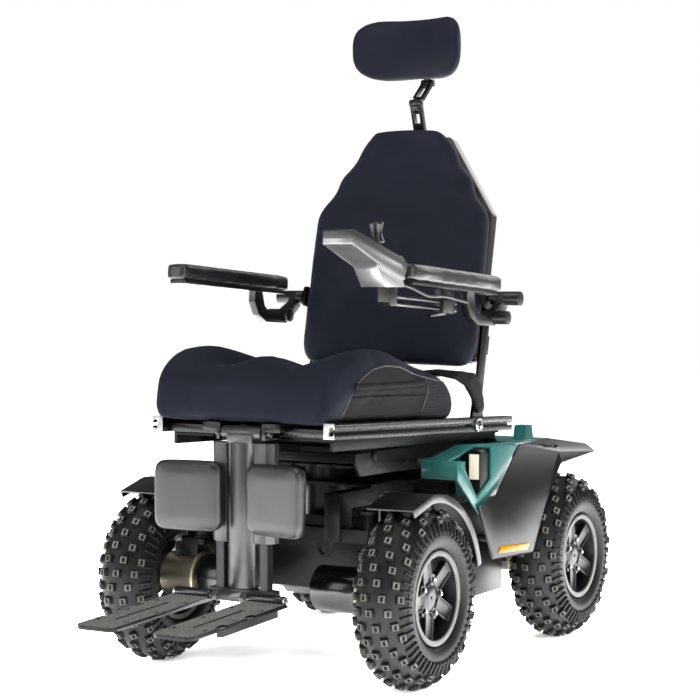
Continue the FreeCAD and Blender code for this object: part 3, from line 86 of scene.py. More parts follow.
def surface(name, dark, light, grain_mm, blotch_mm, rough, metallic=0.0, bump=0.15, bump_mm=0.2,
            stretch=(1.0, 1.0, 1.0), **sockets):
    """Two close tones in slow blotches, a fine grain in the gloss, and a little relief."""
    material, tree, shader = start(name)
    where = spot(tree, stretch)
    blotch = add(tree, "ShaderNodeTexNoise", {"Vector": where, "Scale": 1000.0 / blotch_mm, "Detail": 4.0})
    grain = add(tree, "ShaderNodeTexNoise", {"Vector": where, "Scale": 1000.0 / grain_mm, "Detail": 6.0,
                                             "Roughness": 0.6})
    both = add(tree, "ShaderNodeMath", {0: blotch.outputs["Fac"], 1: grain.outputs["Fac"]},
               operation="MULTIPLY")
    spread = add(tree, "ShaderNodeMapRange", {"Value": both.outputs[0], "From Min": 0.14, "From Max": 0.36})
    tone = add(tree, "ShaderNodeMix", {"Factor": spread.outputs[0], "A": colour(dark), "B": colour(light)},
               data_type="RGBA")
    tree.links.new(tone.outputs["Result"], shader.inputs["Base Color"])
    gloss = add(tree, "ShaderNodeMapRange", {"Value": grain.outputs["Fac"], "From Min": 0.25,
                                             "From Max": 0.75, "To Min": rough - 0.06,
                                             "To Max": rough + 0.08})
    tree.links.new(gloss.outputs[0], shader.inputs["Roughness"])
    relief = add(tree, "ShaderNodeBump", {"Height": grain.outputs["Fac"], "Strength": bump,
                                          "Distance": bump_mm / 1000.0})
    tree.links.new(relief.outputs[0], shader.inputs["Normal"])
    shader.inputs["Metallic"].default_value = metallic
    for socket, value in sockets.items():
        shader.inputs[socket.replace("_", " ")].default_value = value
    return material


# Moulded tyre rubber, dusty where it has rolled
tyre_rubber = surface("moulded_tyre_rubber", "#0f0f0e", "#21211f", 1.6, 60, 0.48, bump=0.35, bump_mm=0.5,
                      Specular_IOR_Level=0.2)
# Knob tops: light grey, partly from wear and dust and partly a painted sheen standing for the light the
# tread catches.
knob_rubber = surface("worn_tread_rubber", "#6a6963", "#a3a29a", 2.5, 30, 0.7, bump=0.4, bump_mm=0.4)
# Cast aluminium under satin black powder coat
rim_black = surface("satin_powder_coated_casting", "#0d0d0e", "#19191a", 0.9, 40, 0.34, bump=0.12)
rim_grey = surface("machined_rim_lip", "#4a4a47", "#6b6b67", 0.8, 50, 0.42, metallic=0.3, bump=0.1)
# Zinc-plated steel: bright, slightly cloudy
zinc_steel = surface("zinc_plated_steel", "#8f9192", "#c4c5c5", 0.6, 12, 0.3, metallic=1.0, bump=0.06)
chrome = surface("polished_chrome", "#c9cbcd", "#eceded", 0.8, 30, 0.12, metallic=1.0, bump=0.02)
# Blackened tube, polished enough to throw one long highlight
black_tube = surface("polished_black_tube", "#111112", "#1f1f20", 0.8, 30, 0.2, bump=0.03, Coat_Weight=0.3)
dark_steel = surface("blackened_steel", "#232324", "#3a3b3c", 0.8, 30, 0.3, metallic=1.0, bump=0.05)
# Folded steel under black powder coat, with its fine orange peel
frame_black = surface("black_powder_coat", "#080809", "#121213", 0.8, 60, 0.42, bump=0.18,
                      Specular_IOR_Level=0.15)
frame_satin = surface("satin_black_anodised_plate", "#111112", "#202021", 0.7, 60, 0.36, metallic=0.4,
                      bump=0.1)
# Champagne anodised gearbox casting and gloss black motor can
gearbox_bronze = surface("champagne_anodised_casting", "#857f6a", "#a39d86", 0.9, 30, 0.4, metallic=0.8,
                         bump=0.1)
motor_black = surface("gloss_enamel_motor_can", "#0b0b0c", "#161617", 1.2, 60, 0.18, bump=0.05)
teal_paint = surface("satin_teal_paint", "#2c7b78", "#3d9691", 0.9, 140, 0.36, bump=0.06,
                     Coat_Weight=0.25, Coat_Roughness=0.2)
charcoal_panel = surface("spark_textured_abs_panel", "#0e0e0e", "#191918", 0.9, 90, 0.32, bump=0.3,
                         bump_mm=0.25)
# Amber side reflector: its emission is a painted glow standing for the light it throws back, since it is no
# lamp.
amber = surface("moulded_amber_reflector", "#f0a300", "#ffc11c", 2.5, 10, 0.22, bump=0.3,
                Emission_Color=colour("#f5a800"), Emission_Strength=0.25)
rail_black = surface("black_anodised_extrusion", "#0c0c0d", "#171718", 0.7, 60, 0.26, metallic=0.5,
                     bump=0.08, stretch=(1.0, 0.06, 1.0))
cut_aluminium = surface("sawn_aluminium_end", "#77777a", "#a0a09d", 0.8, 10, 0.4, metallic=0.9, bump=0.15)
leg_grey = surface("satin_grey_paint", "#3f3f40", "#4d4d4e", 0.9, 90, 0.34, metallic=0.25, bump=0.06)
vinyl = surface("soft_grained_vinyl", "#151516", "#222224", 1.8, 40, 0.36, bump=0.3, bump_mm=0.3)
arm_casting = surface("satin_dark_casting", "#141414", "#232322", 0.8, 50, 0.34, metallic=0.4, bump=0.1)
silver_moulding = surface("silver_lacquered_abs", "#8d8e8e", "#a9aaaa", 0.9, 60, 0.3, metallic=0.45,
                          bump=0.08)
dark_moulding = surface("dark_grey_moulded_abs", "#191a1b", "#272829", 0.9, 60, 0.4, bump=0.15)
knob_black = surface("satin_black_knob", "#0a0a0b", "#151516", 1.4, 20, 0.34, bump=0.04)
rubber_black = surface("soft_black_rubber", "#101010", "#1d1d1d", 1.2, 20, 0.6, bump=0.2)
sheath = surface("black_cable_sheath", "#121212", "#212121", 1.0, 20, 0.45, bump=0.1)
webbing = surface("woven_polyester_webbing", "#070708", "#101011", 1.2, 30, 0.75, bump=0.6, bump_mm=0.5,
                  stretch=(1.0, 2.0, 1.0), Specular_IOR_Level=0.15)
stretch_cover = surface("navy_stretch_knit", "#141722", "#1e212d", 1.5, 120, 0.7, bump=0.3, bump_mm=0.25,
                        Specular_IOR_Level=0.12, Sheen_Weight=0.1, Sheen_Roughness=0.4,
                        Sheen_Tint=colour("#7a8096"))
piping_dark = surface("bound_seam_piping", "#17181c", "#26272c", 1.5, 30, 0.6, bump=0.4)


def spacer_mesh(name, thread, hole, cell_mm):
    """Knitted spacer fabric: an open grid of small round holes, drawn at the size it shows."""
    material, tree, shader = start(name)
    where = spot(tree)
    cells = add(tree, "ShaderNodeTexVoronoi", {"Vector": where, "Scale": 1000.0 / cell_mm,
                                                 "Randomness": 0.35})
    open_part = add(tree, "ShaderNodeMapRange", {"Value": cells.outputs["Distance"], "From Min": 0.28,
                                                 "From Max": 0.42, "To Min": 1.0, "To Max": 0.0})
    tone = add(tree, "ShaderNodeMix", {"Factor": open_part.outputs[0], "A": colour(thread),
                                       "B": colour(hole)}, data_type="RGBA")
    relief = add(tree, "ShaderNodeBump", {"Height": cells.outputs["Distance"], "Strength": 0.7,
                                          "Distance": 0.0008})
    tree.links.new(tone.outputs["Result"], shader.inputs["Base Color"])
    tree.links.new(relief.outputs[0], shader.inputs["Normal"])
    shader.inputs["Roughness"].default_value = 0.8
    shader.inputs["Specular IOR Level"].default_value = 0.15
    return material


side_mesh = spacer_mesh("black_spacer_mesh", "#141517", "#030304", 4.5)
honeycomb = spacer_mesh("honeycomb_spacer_mesh", "#242528", "#050506", 6.5)


def grip_plate():
    """Grit-coated aluminium tread plate: grey with dark and pale specks about 2 mm apart."""
    material, tree, shader = start("grit_coated_aluminium")
    where = spot(tree)
    specks = add(tree, "ShaderNodeTexNoise", {"Vector": where, "Scale": 420.0, "Detail": 3.0,
                                              "Roughness": 0.8})
    tone = add(tree, "ShaderNodeValToRGB", {"Fac": specks.outputs["Fac"]})
    stops = tone.color_ramp.elements
    stops[0].position = 0.38
    stops[0].color = colour("#2a2a29")
    stops[1].position = 0.66
    stops[1].color = colour("#aaaaa4")
    relief = add(tree, "ShaderNodeBump", {"Height": specks.outputs["Fac"], "Strength": 0.8,
                                          "Distance": 0.0006})
    tree.links.new(tone.outputs["Color"], shader.inputs["Base Color"])
    tree.links.new(relief.outputs[0], shader.inputs["Normal"])
    shader.inputs["Roughness"].default_value = 0.6
    shader.inputs["Metallic"].default_value = 0.2
    return material


grip = grip_plate()


def lamp_lens():
    """Clear lens over a warm white reflector, with fine upright flutes."""
    material, tree, shader = start("fluted_warm_lens")
    where = spot(tree)
    flutes = add(tree, "ShaderNodeTexWave", {"Vector": where, "Scale": 70.0}, bands_direction="X")
    tone = add(tree, "ShaderNodeMix", {"Factor": flutes.outputs["Fac"], "A": colour("#f2e7bd"),
                                       "B": colour("#fffdf4")}, data_type="RGBA")
    tree.links.new(tone.outputs["Result"], shader.inputs["Base Color"])
    tree.links.new(tone.outputs["Result"], shader.inputs["Emission Color"])
    shader.inputs["Emission Strength"].default_value = 0.55
    shader.inputs["Roughness"].default_value = 0.15
    return material


lens_glass = lamp_lens()


# Mesh helpers

def piece(name, bm, materials, body, smooth_angle=40.0, recalc=True):
    if recalc:
        bmesh.ops.remove_doubles(bm, verts=bm.verts, dist=0.00001)
        bmesh.ops.recalc_face_normals(bm, faces=bm.faces)
    mesh = bpy.data.meshes.new(name)
    bm.to_mesh(mesh)
    bm.free()
    for material in (materials if isinstance(materials, (list, tuple)) else [materials]):
        mesh.materials.append(material)
    mesh.shade_smooth()
    mesh.set_sharp_from_angle(angle=math.radians(smooth_angle))
    obj = bpy.data.objects.new(name, mesh)
    bpy.context.scene.collection.objects.link(obj)
    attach(obj, body)
    return obj


def bevelled(bm, width_mm, angle=30.0, segments=2, edges=None):
    if edges is None:
        edges = [e for e in bm.edges if len(e.link_faces) == 2
                 and e.calc_face_angle(0.0) > math.radians(angle)]
    bmesh.ops.bevel(bm, geom=edges, offset=width_mm / 1000.0, offset_type="OFFSET", affect="EDGES",
                    segments=segments, profile=0.5, material=-1, clamp_overlap=True)


def from_node(node):
    bm = bmesh.new()
    bm.from_mesh(frame["nodes"][node].data)
    bmesh.ops.remove_doubles(bm, verts=bm.verts, dist=0.00001)
    return bm


body_of = {node: body for body, nodes in frame["record"]["behaviour"]["bodies"].items() for node in nodes}


def dressed(node, materials, width_mm=0.8, chooser=None, smooth_angle=35.0):
    """The CAD form with its sharp edges eased, and its finishes set face by face."""
    bm = from_node(node)
    bmesh.ops.dissolve_limit(bm, angle_limit=math.radians(1.0), verts=bm.verts, edges=bm.edges)
    if width_mm:
        bevelled(bm, width_mm)
    if chooser:
        for face in bm.faces:
            centre = face.calc_center_median() * 1000.0
            centre.y -= DATUM_SHIFT
            face.material_index = chooser(centre, face.normal)
    obj = piece("dressed_" + node, bm, materials, body_of[node], smooth_angle, recalc=False)
    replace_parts(obj, node)
    return obj


def bar(bm, start_point, end_point, radius_mm, segments=20, material=0, end_radius_mm=None):
    a, b = mm(*start_point), mm(*end_point)
    run = b - a
    turn = run.to_track_quat("Z", "Y").to_matrix().to_4x4()
    end_radius = radius_mm if end_radius_mm is None else end_radius_mm
    made = bmesh.ops.create_cone(bm, cap_ends=True, cap_tris=False, segments=segments,
                                 radius1=radius_mm / 1000.0, radius2=end_radius / 1000.0, depth=run.length,
                                 matrix=Matrix.Translation((a + b) / 2.0) @ turn)["verts"]
    for face in {f for v in made for f in v.link_faces}:
        face.material_index = material
    return made


def spun(bm, outline, centre, axis, steps=64, material=0):
    """A closed outline of (along, radius) pairs turned right round the axis."""
    axis = Vector(axis).normalized()
    side = axis.orthogonal().normalized()
    verts = [bm.verts.new(centre + axis * a / 1000.0 + side * r / 1000.0) for a, r in outline]
    edges = [bm.edges.new((verts[i], verts[(i + 1) % len(verts)])) for i in range(len(verts))]
    before = set(bm.faces)
    bmesh.ops.spin(bm, geom=verts + edges, cent=centre, axis=axis, angle=math.tau, steps=steps,
                   use_merge=True, use_duplicate=False)
    made = [f for f in bm.faces if f not in before]
    for face in made:
        face.material_index = material
    return made


# Soft pieces start from the CAD form and swell a little as cloth; the seat cover is then seamed

def swollen(name, bm, material, body, cap_mm, voxel_mm=6.0, pressure=4.0, shrink_mm=3.0, ease=2):
    mesh = bpy.data.meshes.new(name)
    bm.to_mesh(mesh)
    bm.free()
    obj = bpy.data.objects.new(name, mesh)
    bpy.context.scene.collection.objects.link(obj)
    bpy.context.view_layer.objects.active = obj
    grid = obj.modifiers.new("even_grid", "REMESH")
    grid.mode = "VOXEL"
    grid.voxel_size = voxel_mm / 1000.0
    bake(obj)
    soft = bmesh.new()
    soft.from_mesh(obj.data)
    bmesh.ops.recalc_face_normals(soft, faces=soft.faces)
    for _ in range(4):
        bmesh.ops.smooth_vert(soft, verts=soft.verts, factor=0.5, use_axis_x=True, use_axis_y=True,
                              use_axis_z=True)
    soft.normal_update()
    for vert in soft.verts:
        vert.co -= vert.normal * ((shrink_mm / 1000.0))
    soft.to_mesh(obj.data)
    soft.free()
    rest = [v.co.copy() for v in obj.data.vertices]
    cloth = obj.modifiers.new("swell", "CLOTH")
    cloth.settings.use_pressure = True
    cloth.settings.uniform_pressure_force = pressure
    cloth.settings.effector_weights.gravity = 0.0
    cloth.settings.tension_stiffness = 30.0
    cloth.settings.compression_stiffness = 30.0
    for step in range(1, 21):
        bpy.context.scene.frame_set(step)
    bake(obj)
    bpy.context.scene.frame_set(1)
    limit = cap_mm / 1000.0
    for vert, old in zip(obj.data.vertices, rest):
        move = vert.co - old
        if move.length > limit:
            vert.co = old + move * (limit / move.length)
    taut = bmesh.new()
    taut.from_mesh(obj.data)
    for _ in range(ease):
        bmesh.ops.smooth_vert(taut, verts=taut.verts, factor=0.5, use_axis_x=True, use_axis_y=True,
                              use_axis_z=True)
    taut.to_mesh(obj.data)
    taut.free()
    obj.data.materials.clear()
    obj.data.materials.append(material)
    smooth = obj.modifiers.new("smooth_cover", "SUBSURF")
    smooth.levels = 1
    smooth.render_levels = 1
    bake(obj)
    obj.data.shade_smooth()
    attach(obj, body)
    return obj


def bake(obj):
    view = bpy.context.evaluated_depsgraph_get()
    view.update()
    done = bpy.data.meshes.new_from_object(obj.evaluated_get(view))
    obj.modifiers.clear()
    old = obj.data
    obj.data = done
    bpy.data.meshes.remove(old)


def tube_along(name, points, radius_mm, material, body, smooth=3, closed=False):
    """A rounded bead or cable along a smooth line through the given points."""
    curve = bpy.data.curves.new(name, "CURVE")
    curve.dimensions = "3D"
    curve.bevel_depth = radius_mm / 1000.0
    curve.bevel_resolution = 3
    curve.resolution_u = 6
    line = curve.splines.new("NURBS")
    line.points.add(len(points) - 1)
    for spline_point, p in zip(line.points, points):
        spline_point.co = (*mm(*p), 1.0)
    line.order_u = smooth
    line.use_endpoint_u = not closed
    line.use_cyclic_u = closed
    curve.use_fill_caps = True
    shape = bpy.data.objects.new(name + "_line", curve)
    bpy.context.scene.collection.objects.link(shape)
    bpy.context.view_layer.update()
    mesh = bpy.data.meshes.new_from_object(shape)
    bpy.data.objects.remove(shape)
    bm = bmesh.new()
    bm.from_mesh(mesh)
    return piece(name, bm, material, body, 60.0)


# Seat cushion and backrest covers

seat_cover = swollen("seat_cover", from_node("seat_cushion"), stretch_cover, "seat", 8.0,
                     shrink_mm=2.5, ease=3)
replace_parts(seat_cover, "seat_cushion")


def sewn_panel(cover, region, material):
    """The faces of a cover that a sewn-in panel takes, chosen by their place in millimetres."""
    cover.data.materials.append(material)
    index = len(cover.data.materials) - 1
    for face in cover.data.polygons:
        centre = face.center * 1000.0
        centre.y -= DATUM_SHIFT
        if region(centre, face.normal):
            face.material_index = index


def seam(name, cover, line, side, radius_mm, material, body, lift_mm=0.3):
    """A bead laid on a cover's side, along the given depths and heights."""
    cloth = cover.data
    tree = BVHTree.FromPolygons([v.co for v in cloth.vertices], [p.vertices for p in cloth.polygons])
    points = []
    for (y0, z0), (y1, z1) in zip(line, line[1:]):
        steps = max(2, int(math.hypot(y1 - y0, z1 - z0) / 14.0))
        for step in range(steps):
            share = step / steps
            y, z = y0 + (y1 - y0) * share, z0 + (z1 - z0) * share
            hit = tree.ray_cast(mm(side * 400.0, y, z), Vector((-side, 0, 0)))[0]
            if hit is not None:
                points.append((hit.x * 1000.0 + side * lift_mm, y, z))
    return tube_along(name, points, radius_mm, material, body)


ARC = [(-437, 500), (-434, 530), (-423, 565), (-400, 592), (-357, 608), (-302, 613), (-245, 608),
       (-187, 594), (-127, 583), (-60, 572), (0, 563)]


def arc_height(y):
    for (y0, z0), (y1, z1) in zip(ARC[2:], ARC[3:]):
        if y0 <= y <= y1:
            return z0 + (z1 - z0) * (y - y0) / (y1 - y0)
    return 563.0 if y > 0 else 0.0


sewn_panel(seat_cover,
           lambda c, n: abs(n.x) > 0.25 and -423 < c.y < -127 and c.z < arc_height(c.y),
           side_mesh)
sewn_panel(seat_cover, lambda c, n: abs(n.x) > 0.25 and c.y >= -127 and c.z < arc_height(c.y)
           or n.y > 0.5 and c.z < 563, honeycomb)
for side, word in ((1, "left"), (-1, "right")):
    seam("cushion_arc_seam_" + word, seat_cover, ARC, side, 1.8, piping_dark, "seat")
    seam("cushion_upright_seam_" + word, seat_cover, [(-127, 581), (-127, 500)], side, 1.6, piping_dark,
         "seat")
    seam("cushion_pocket_lip_" + word, seat_cover, [(-421, 556), (-330, 554), (-127, 546)], side, 2.6,
         side_mesh, "seat", 1.0)
    for row, (height_front, height_rear, radius) in enumerate(((577, 570, 7.5), (569, 562, 7.0))):
        seam("cushion_flap_" + word + "_" + "ab"[row], seat_cover,
             [(-419, height_front), (-330, height_front - 2), (-132, height_rear)], side, radius,
             side_mesh, "seat", -2.5)

back_cover = swollen("back_cover", from_node("back_pad"), stretch_cover, "back", 5.0, pressure=3.0,
                     shrink_mm=1.0, ease=4)
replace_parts(back_cover, "back_pad")


def split_node(node):
    """The separate solids of a CAD node, largest first."""
    whole = from_node(node)
    parts = []
    left = set(whole.verts)
    while left:
        seed = left.pop()
        found, edge_front = {seed}, [seed]
        while edge_front:
            at = edge_front.pop()
            for edge in at.link_edges:
                other = edge.other_vert(at)
                if other not in found:
                    found.add(other)
                    edge_front.append(other)
        left -= found
        part = whole.copy()
        whole.verts.index_update()
        keep = {v.index for v in found}
        part.verts.ensure_lookup_table()
        bmesh.ops.delete(part, geom=[v for v in part.verts if v.index not in keep], context="VERTS")
        parts.append(part)
    whole.free()
    return sorted(parts, key=lambda b: -b.calc_volume(signed=False))


head_parts = split_node("headrest_pad")
head_cover = swollen("headrest_cover", head_parts[0], stretch_cover, "head_pad", 4.0, voxel_mm=4.0,
                     pressure=3.0, shrink_mm=1.5, ease=5)
head_bracket_mesh = head_parts[1]
bevelled(head_bracket_mesh, 0.8)
piece("headrest_bracket", head_bracket_mesh, frame_satin, "head_pad", recalc=False)
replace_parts(head_cover, "headrest_pad")

for index, part in enumerate(split_node("calf_pads")):
    pad = swollen("calf_pad_" + "ab"[index], part, vinyl, "legrest", 1.5, voxel_mm=4.0, pressure=0.6,
                  shrink_mm=0.5, ease=10)
    if index == 0:
        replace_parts(pad, "calf_pads")

for side in ("left", "right"):
    pad = swollen("arm_cover_" + side, from_node("arm_pad_" + side), vinyl, "arm_" + side, 2.0,
                  voxel_mm=3.5, shrink_mm=1.0)
    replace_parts(pad, "arm_pad_" + side)

# Plain CAD nodes take their finish with eased edges

for node in ("chassis_frame", "seat_post", "lift_carriage", "recline_pivots", "back_brackets",
             "knuckle_left", "knuckle_right", "tie_rod"):
    dressed(node, frame_black)
for node in ("headrest_lower_link", "headrest_upper_link"):
    dressed(node, frame_satin, 0.5)
dressed("battery_case", charcoal_panel, 2.5)
dressed("batteries", dark_moulding, 1.5)
dressed("power_module", frame_black, 0.6)
dressed("body_shroud", teal_paint, 1.8)
for side in ("left", "right"):
    dressed("fairing_" + side, charcoal_panel, 2.0)
    dressed("fender_" + side, charcoal_panel, 1.2)
    dressed("arm_frame_" + side, arm_casting, 1.0)
    dressed("footplate_" + side, [grip, frame_black, black_tube], 0.6,
            lambda c, n: 2 if c.y > -533.0 and c.z > 168.0 else (0 if n.z > 0.9 else 1))
dressed("headlamp_housings", frame_black, 1.2)
dressed("headlamp_lenses", lens_glass, 0.8)
dressed("side_reflectors", amber, 0.4)
dressed("seat_pan", frame_black, 0.6)
dressed("seat_rails", [rail_black, cut_aluminium], 0.4,
        lambda c, n: 1 if abs(c.x) > 180.0 and abs(n.y) > 0.9 and (c.y < -480.0 or c.y > 255.0) else 0)
dressed("back_shell", charcoal_panel, 1.5)
dressed("leg_column", leg_grey, 0.8)
dressed("leg_slider", [leg_grey, chrome], 0.6,
        lambda c, n: 1 if c.y < -505.0 and abs(c.x) > 40.0 else 0)
dressed("controller_lower", silver_moulding, 1.0)
dressed("controller_upper", dark_moulding, 1.2)
dressed("controller_mount", [frame_satin, dark_steel], 0.6,
        lambda c, n: 1 if c.y > -328.0 and 236.0 < c.x < 246.0 and c.z < 733.0 - 0.066 * c.y else 0)
dressed("joystick_gimbal", zinc_steel, 0.2)
dressed("joystick", [knob_black, rubber_black], 0.5, lambda c, n: 1 if c.z < 843.0 else 0)
for key in "abcd":
    dressed("button_" + key, rubber_black, 0.5)
dressed("belt_anchors", chrome, 0.4)


def padded_strap(name, node, material, body, thicker_mm):
    """A strap with a soft filling: the CAD strip made into one rounded skin."""
    bm = from_node(node)
    mesh = bpy.data.meshes.new(name)
    bm.to_mesh(mesh)
    bm.free()
    obj = bpy.data.objects.new(name, mesh)
    bpy.context.scene.collection.objects.link(obj)
    grid = obj.modifiers.new("even_grid", "REMESH")
    grid.mode = "VOXEL"
    grid.voxel_size = 0.0022
    bake(obj)
    skin = bmesh.new()
    skin.from_mesh(obj.data)
    bmesh.ops.recalc_face_normals(skin, faces=skin.faces)
    for _ in range(3):
        bmesh.ops.smooth_vert(skin, verts=skin.verts, factor=0.5, use_axis_x=True, use_axis_y=True,
                              use_axis_z=True)
    skin.normal_update()
    for vert in skin.verts:
        vert.co += vert.normal * thicker_mm / 1000.0
    bmesh.ops.smooth_vert(skin, verts=skin.verts, factor=0.5, use_axis_x=True, use_axis_y=True,
                          use_axis_z=True)
    skin.to_mesh(obj.data)
    skin.free()
    obj.data.materials.clear()
    obj.data.materials.append(material)
    obj.data.shade_smooth()
    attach(obj, body)
    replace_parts(obj, node)
    return obj


padded_strap("belt_strap", "lap_belt", webbing, "seat", 4.8)


def raked(y, z):
    """A point of the level seat layout, turned with the seat about its tilt pivot."""
    a = math.radians(-2.4)
    return (235.0 + (y - 235.0) * math.cos(a) - (z - 425.0) * math.sin(a),
            425.0 + (y - 235.0) * math.sin(a) + (z - 425.0) * math.cos(a))


# Thin grey bars along each rail's upper and lower lips are painted highlights. They stand for the bright
# lines of light the lips reflect and are no part of the rail.
rail_painted_highlights = bmesh.new()
for side in (1, -1):
    for height in (478.6, 470.0, 457.0):
        ends = [(side * 208.1, *raked(y, height)) for y in (-482.0, 261.0)]
        bar(rail_painted_highlights, ends[0], ends[1], 0.9, 12)
piece("rail_lip_lines", rail_painted_highlights, leg_grey, "seat")
dressed("front_drive_left", [gearbox_bronze, motor_black], 1.0, lambda c, n: 1 if abs(c.x) < 187.5 else 0)
dressed("front_drive_right", [gearbox_bronze, motor_black], 1.0, lambda c, n: 1 if abs(c.x) < 187.5 else 0)
dressed("rear_drives", [gearbox_bronze, motor_black], 1.0, lambda c, n: 1 if abs(c.x) < 187.5 else 0)

# The controller's lead runs from its connector back to the arm

lead_route = [mm(*p) for p in (
    (267.5, -330, 767.5), (267.5, -302, 764), (268.5, -268, 754), (268.5, -225, 744), (268.5, -180, 746),
    (267.5, -135, 742), (266.5, -92, 735), (266.5, -61, 732))]
lead_curve = bpy.data.curves.new("hand_control_lead", "CURVE")
lead_curve.dimensions = "3D"
lead_curve.bevel_depth = 0.003
lead_curve.bevel_resolution = 3
lead_curve.resolution_u = 10
lead_curve.use_fill_caps = True
lead_line = lead_curve.splines.new("NURBS")
lead_line.points.add(len(lead_route) - 1)
for control, place in zip(lead_line.points, lead_route):
    control.co = (*place, 1.0)
lead_line.order_u = 3
lead_line.use_endpoint_u = True
lead_curve.materials.append(sheath)
lead = bpy.data.objects.new("hand_control_lead", lead_curve)
bpy.context.scene.collection.objects.link(lead)
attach(lead, "arm_left")
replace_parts(lead, "controller_lead")


# Wheels

WHEEL_X = 294.6
AXLE_Y = 328.0
AXLE_Z = 178.0
CARCASS_SECTION = 57.0
CARCASS_MID = 114.0
KNOB_ROWS = 39
LUG_COUNT = 54
SPOKE_PHASE = -49.0
NUT_CIRCLE = 34.0


def knob_mesh():
    bm = bmesh.new()
    made = bmesh.ops.create_cube(bm, size=1.0)["verts"]
    bmesh.ops.scale(bm, vec=(0.0165, 0.0165, 0.012), verts=made)
    bmesh.ops.translate(bm, vec=(0, 0, 0.0008), verts=made)
    top = max(bm.faces, key=lambda f: f.calc_center_median().z)
    bmesh.ops.scale(bm, vec=(0.86, 0.86, 1.0), verts=top.verts)
    bevelled(bm, 0.8, segments=1)
    top = max(bm.faces, key=lambda f: (f.calc_center_median().z, f.calc_area()))
    # The knob's top frame takes the light tread colour, partly wear and partly painted sheen. The pit keeps
    # the plain rubber.
    top.material_index = 1
    inset = bmesh.ops.inset_region(bm, faces=[top], thickness=0.0036)
    for face in inset["faces"]:
        face.material_index = 1
    bmesh.ops.scale(bm, vec=(0.72, 1.2, 1.0), verts=top.verts)
    pit = bmesh.ops.inset_region(bm, faces=[top], thickness=0.0004, depth=-0.0025)
    for face in pit["faces"] + [top]:
        face.material_index = 0
    mesh = bpy.data.meshes.new("knob_shape")
    bm.to_mesh(mesh)
    bm.free()
    return mesh


def lug_mesh():
    bm = bmesh.new()
    made = bmesh.ops.create_cube(bm, size=1.0)["verts"]
    bmesh.ops.scale(bm, vec=(0.030, 0.0065, 0.008), verts=made)
    top = max(bm.faces, key=lambda f: f.calc_center_median().z)
    bmesh.ops.scale(bm, vec=(0.9, 0.6, 1.0), verts=top.verts)
    bevelled(bm, 0.7, segments=1)
    mesh = bpy.data.meshes.new("lug_shape")
    bm.to_mesh(mesh)
    bm.free()
    return mesh


knob_shape, lug_shape = knob_mesh(), lug_mesh()


def stamp(bm, mesh, place):
    before = len(bm.verts)
    bm.from_mesh(mesh)
    bm.verts.ensure_lookup_table()
    bmesh.ops.transform(bm, matrix=place, verts=bm.verts[before:])


def on_carcass(angle, round_angle, lift_mm, twist=0.0):
    """A frame standing on the carcass, angle off its crown and round_angle about the axle."""
    lean = Matrix.Rotation(angle, 4, "Y")
    up = Matrix.Translation((0, 0, CARCASS_MID / 1000.0))
    out = Matrix.Translation((0, 0, (CARCASS_SECTION + lift_mm) / 1000.0))
    return Matrix.Rotation(round_angle, 4, "X") @ up @ lean @ out @ Matrix.Rotation(twist, 4, "Z")


def tyre(name, side, axle_y, body):
    bm = bmesh.new()
    outline = []
    for degrees in range(-100, 101, 10):
        a = math.radians(degrees)
        outline.append((CARCASS_SECTION * math.sin(a) * 0.975, CARCASS_MID + CARCASS_SECTION * math.cos(a)))
    outline += [(50.0, 97.0), (44.0, 91.2), (38.0, 91.2), (44.0, 110.0), (40.0, 140.0), (0.0, 160.0),
                (-40.0, 140.0), (-44.0, 110.0), (-38.0, 91.2), (-44.0, 91.2), (-50.0, 97.0)]
    spun(bm, outline, Vector((0, 0, 0)), (1, 0, 0), 78)
    for lift, ring_radius in ((54.2, 125.0), (-54.2, 125.0)):
        flat = 1.0 if lift > 0 else -1.0
        spun(bm, [(lift, ring_radius - 2.6), (lift + flat * 1.9, ring_radius - 1.2),
                  (lift + flat * 1.9, ring_radius + 1.2), (lift, ring_radius + 2.6)],
             Vector((0, 0, 0)), (1, 0, 0), 78)
    for row in range(KNOB_ROWS):
        turn = math.tau * row / KNOB_ROWS
        shift = (-11.0, 0.0, 11.0)[row % 3]
        for column in (-66.0, -33.0, 0.0, 33.0, 66.0):
            across = column + shift
            if abs(across) > 60.0:
                continue
            angle = across / CARCASS_SECTION
            stamp(bm, knob_shape, on_carcass(angle, turn, 0.4 if abs(across) < 30 else -0.6))
    for index in range(LUG_COUNT):
        turn = math.tau * (index + 0.5) / LUG_COUNT
        for way in (-1.0, 1.0):
            angle = way * math.radians(71.0)
            lean = on_carcass(angle, turn, -1.2)
            stamp(bm, lug_shape, lean)
    if side < 0:
        bmesh.ops.scale(bm, vec=(-1.0, 1.0, 1.0), verts=bm.verts)
        bmesh.ops.reverse_faces(bm, faces=bm.faces)
    bmesh.ops.translate(bm, vec=mm(side * WHEEL_X, axle_y, AXLE_Z), verts=bm.verts)
    obj = piece(name, bm, [tyre_rubber, knob_rubber], body, 45.0, recalc=False)
    return obj


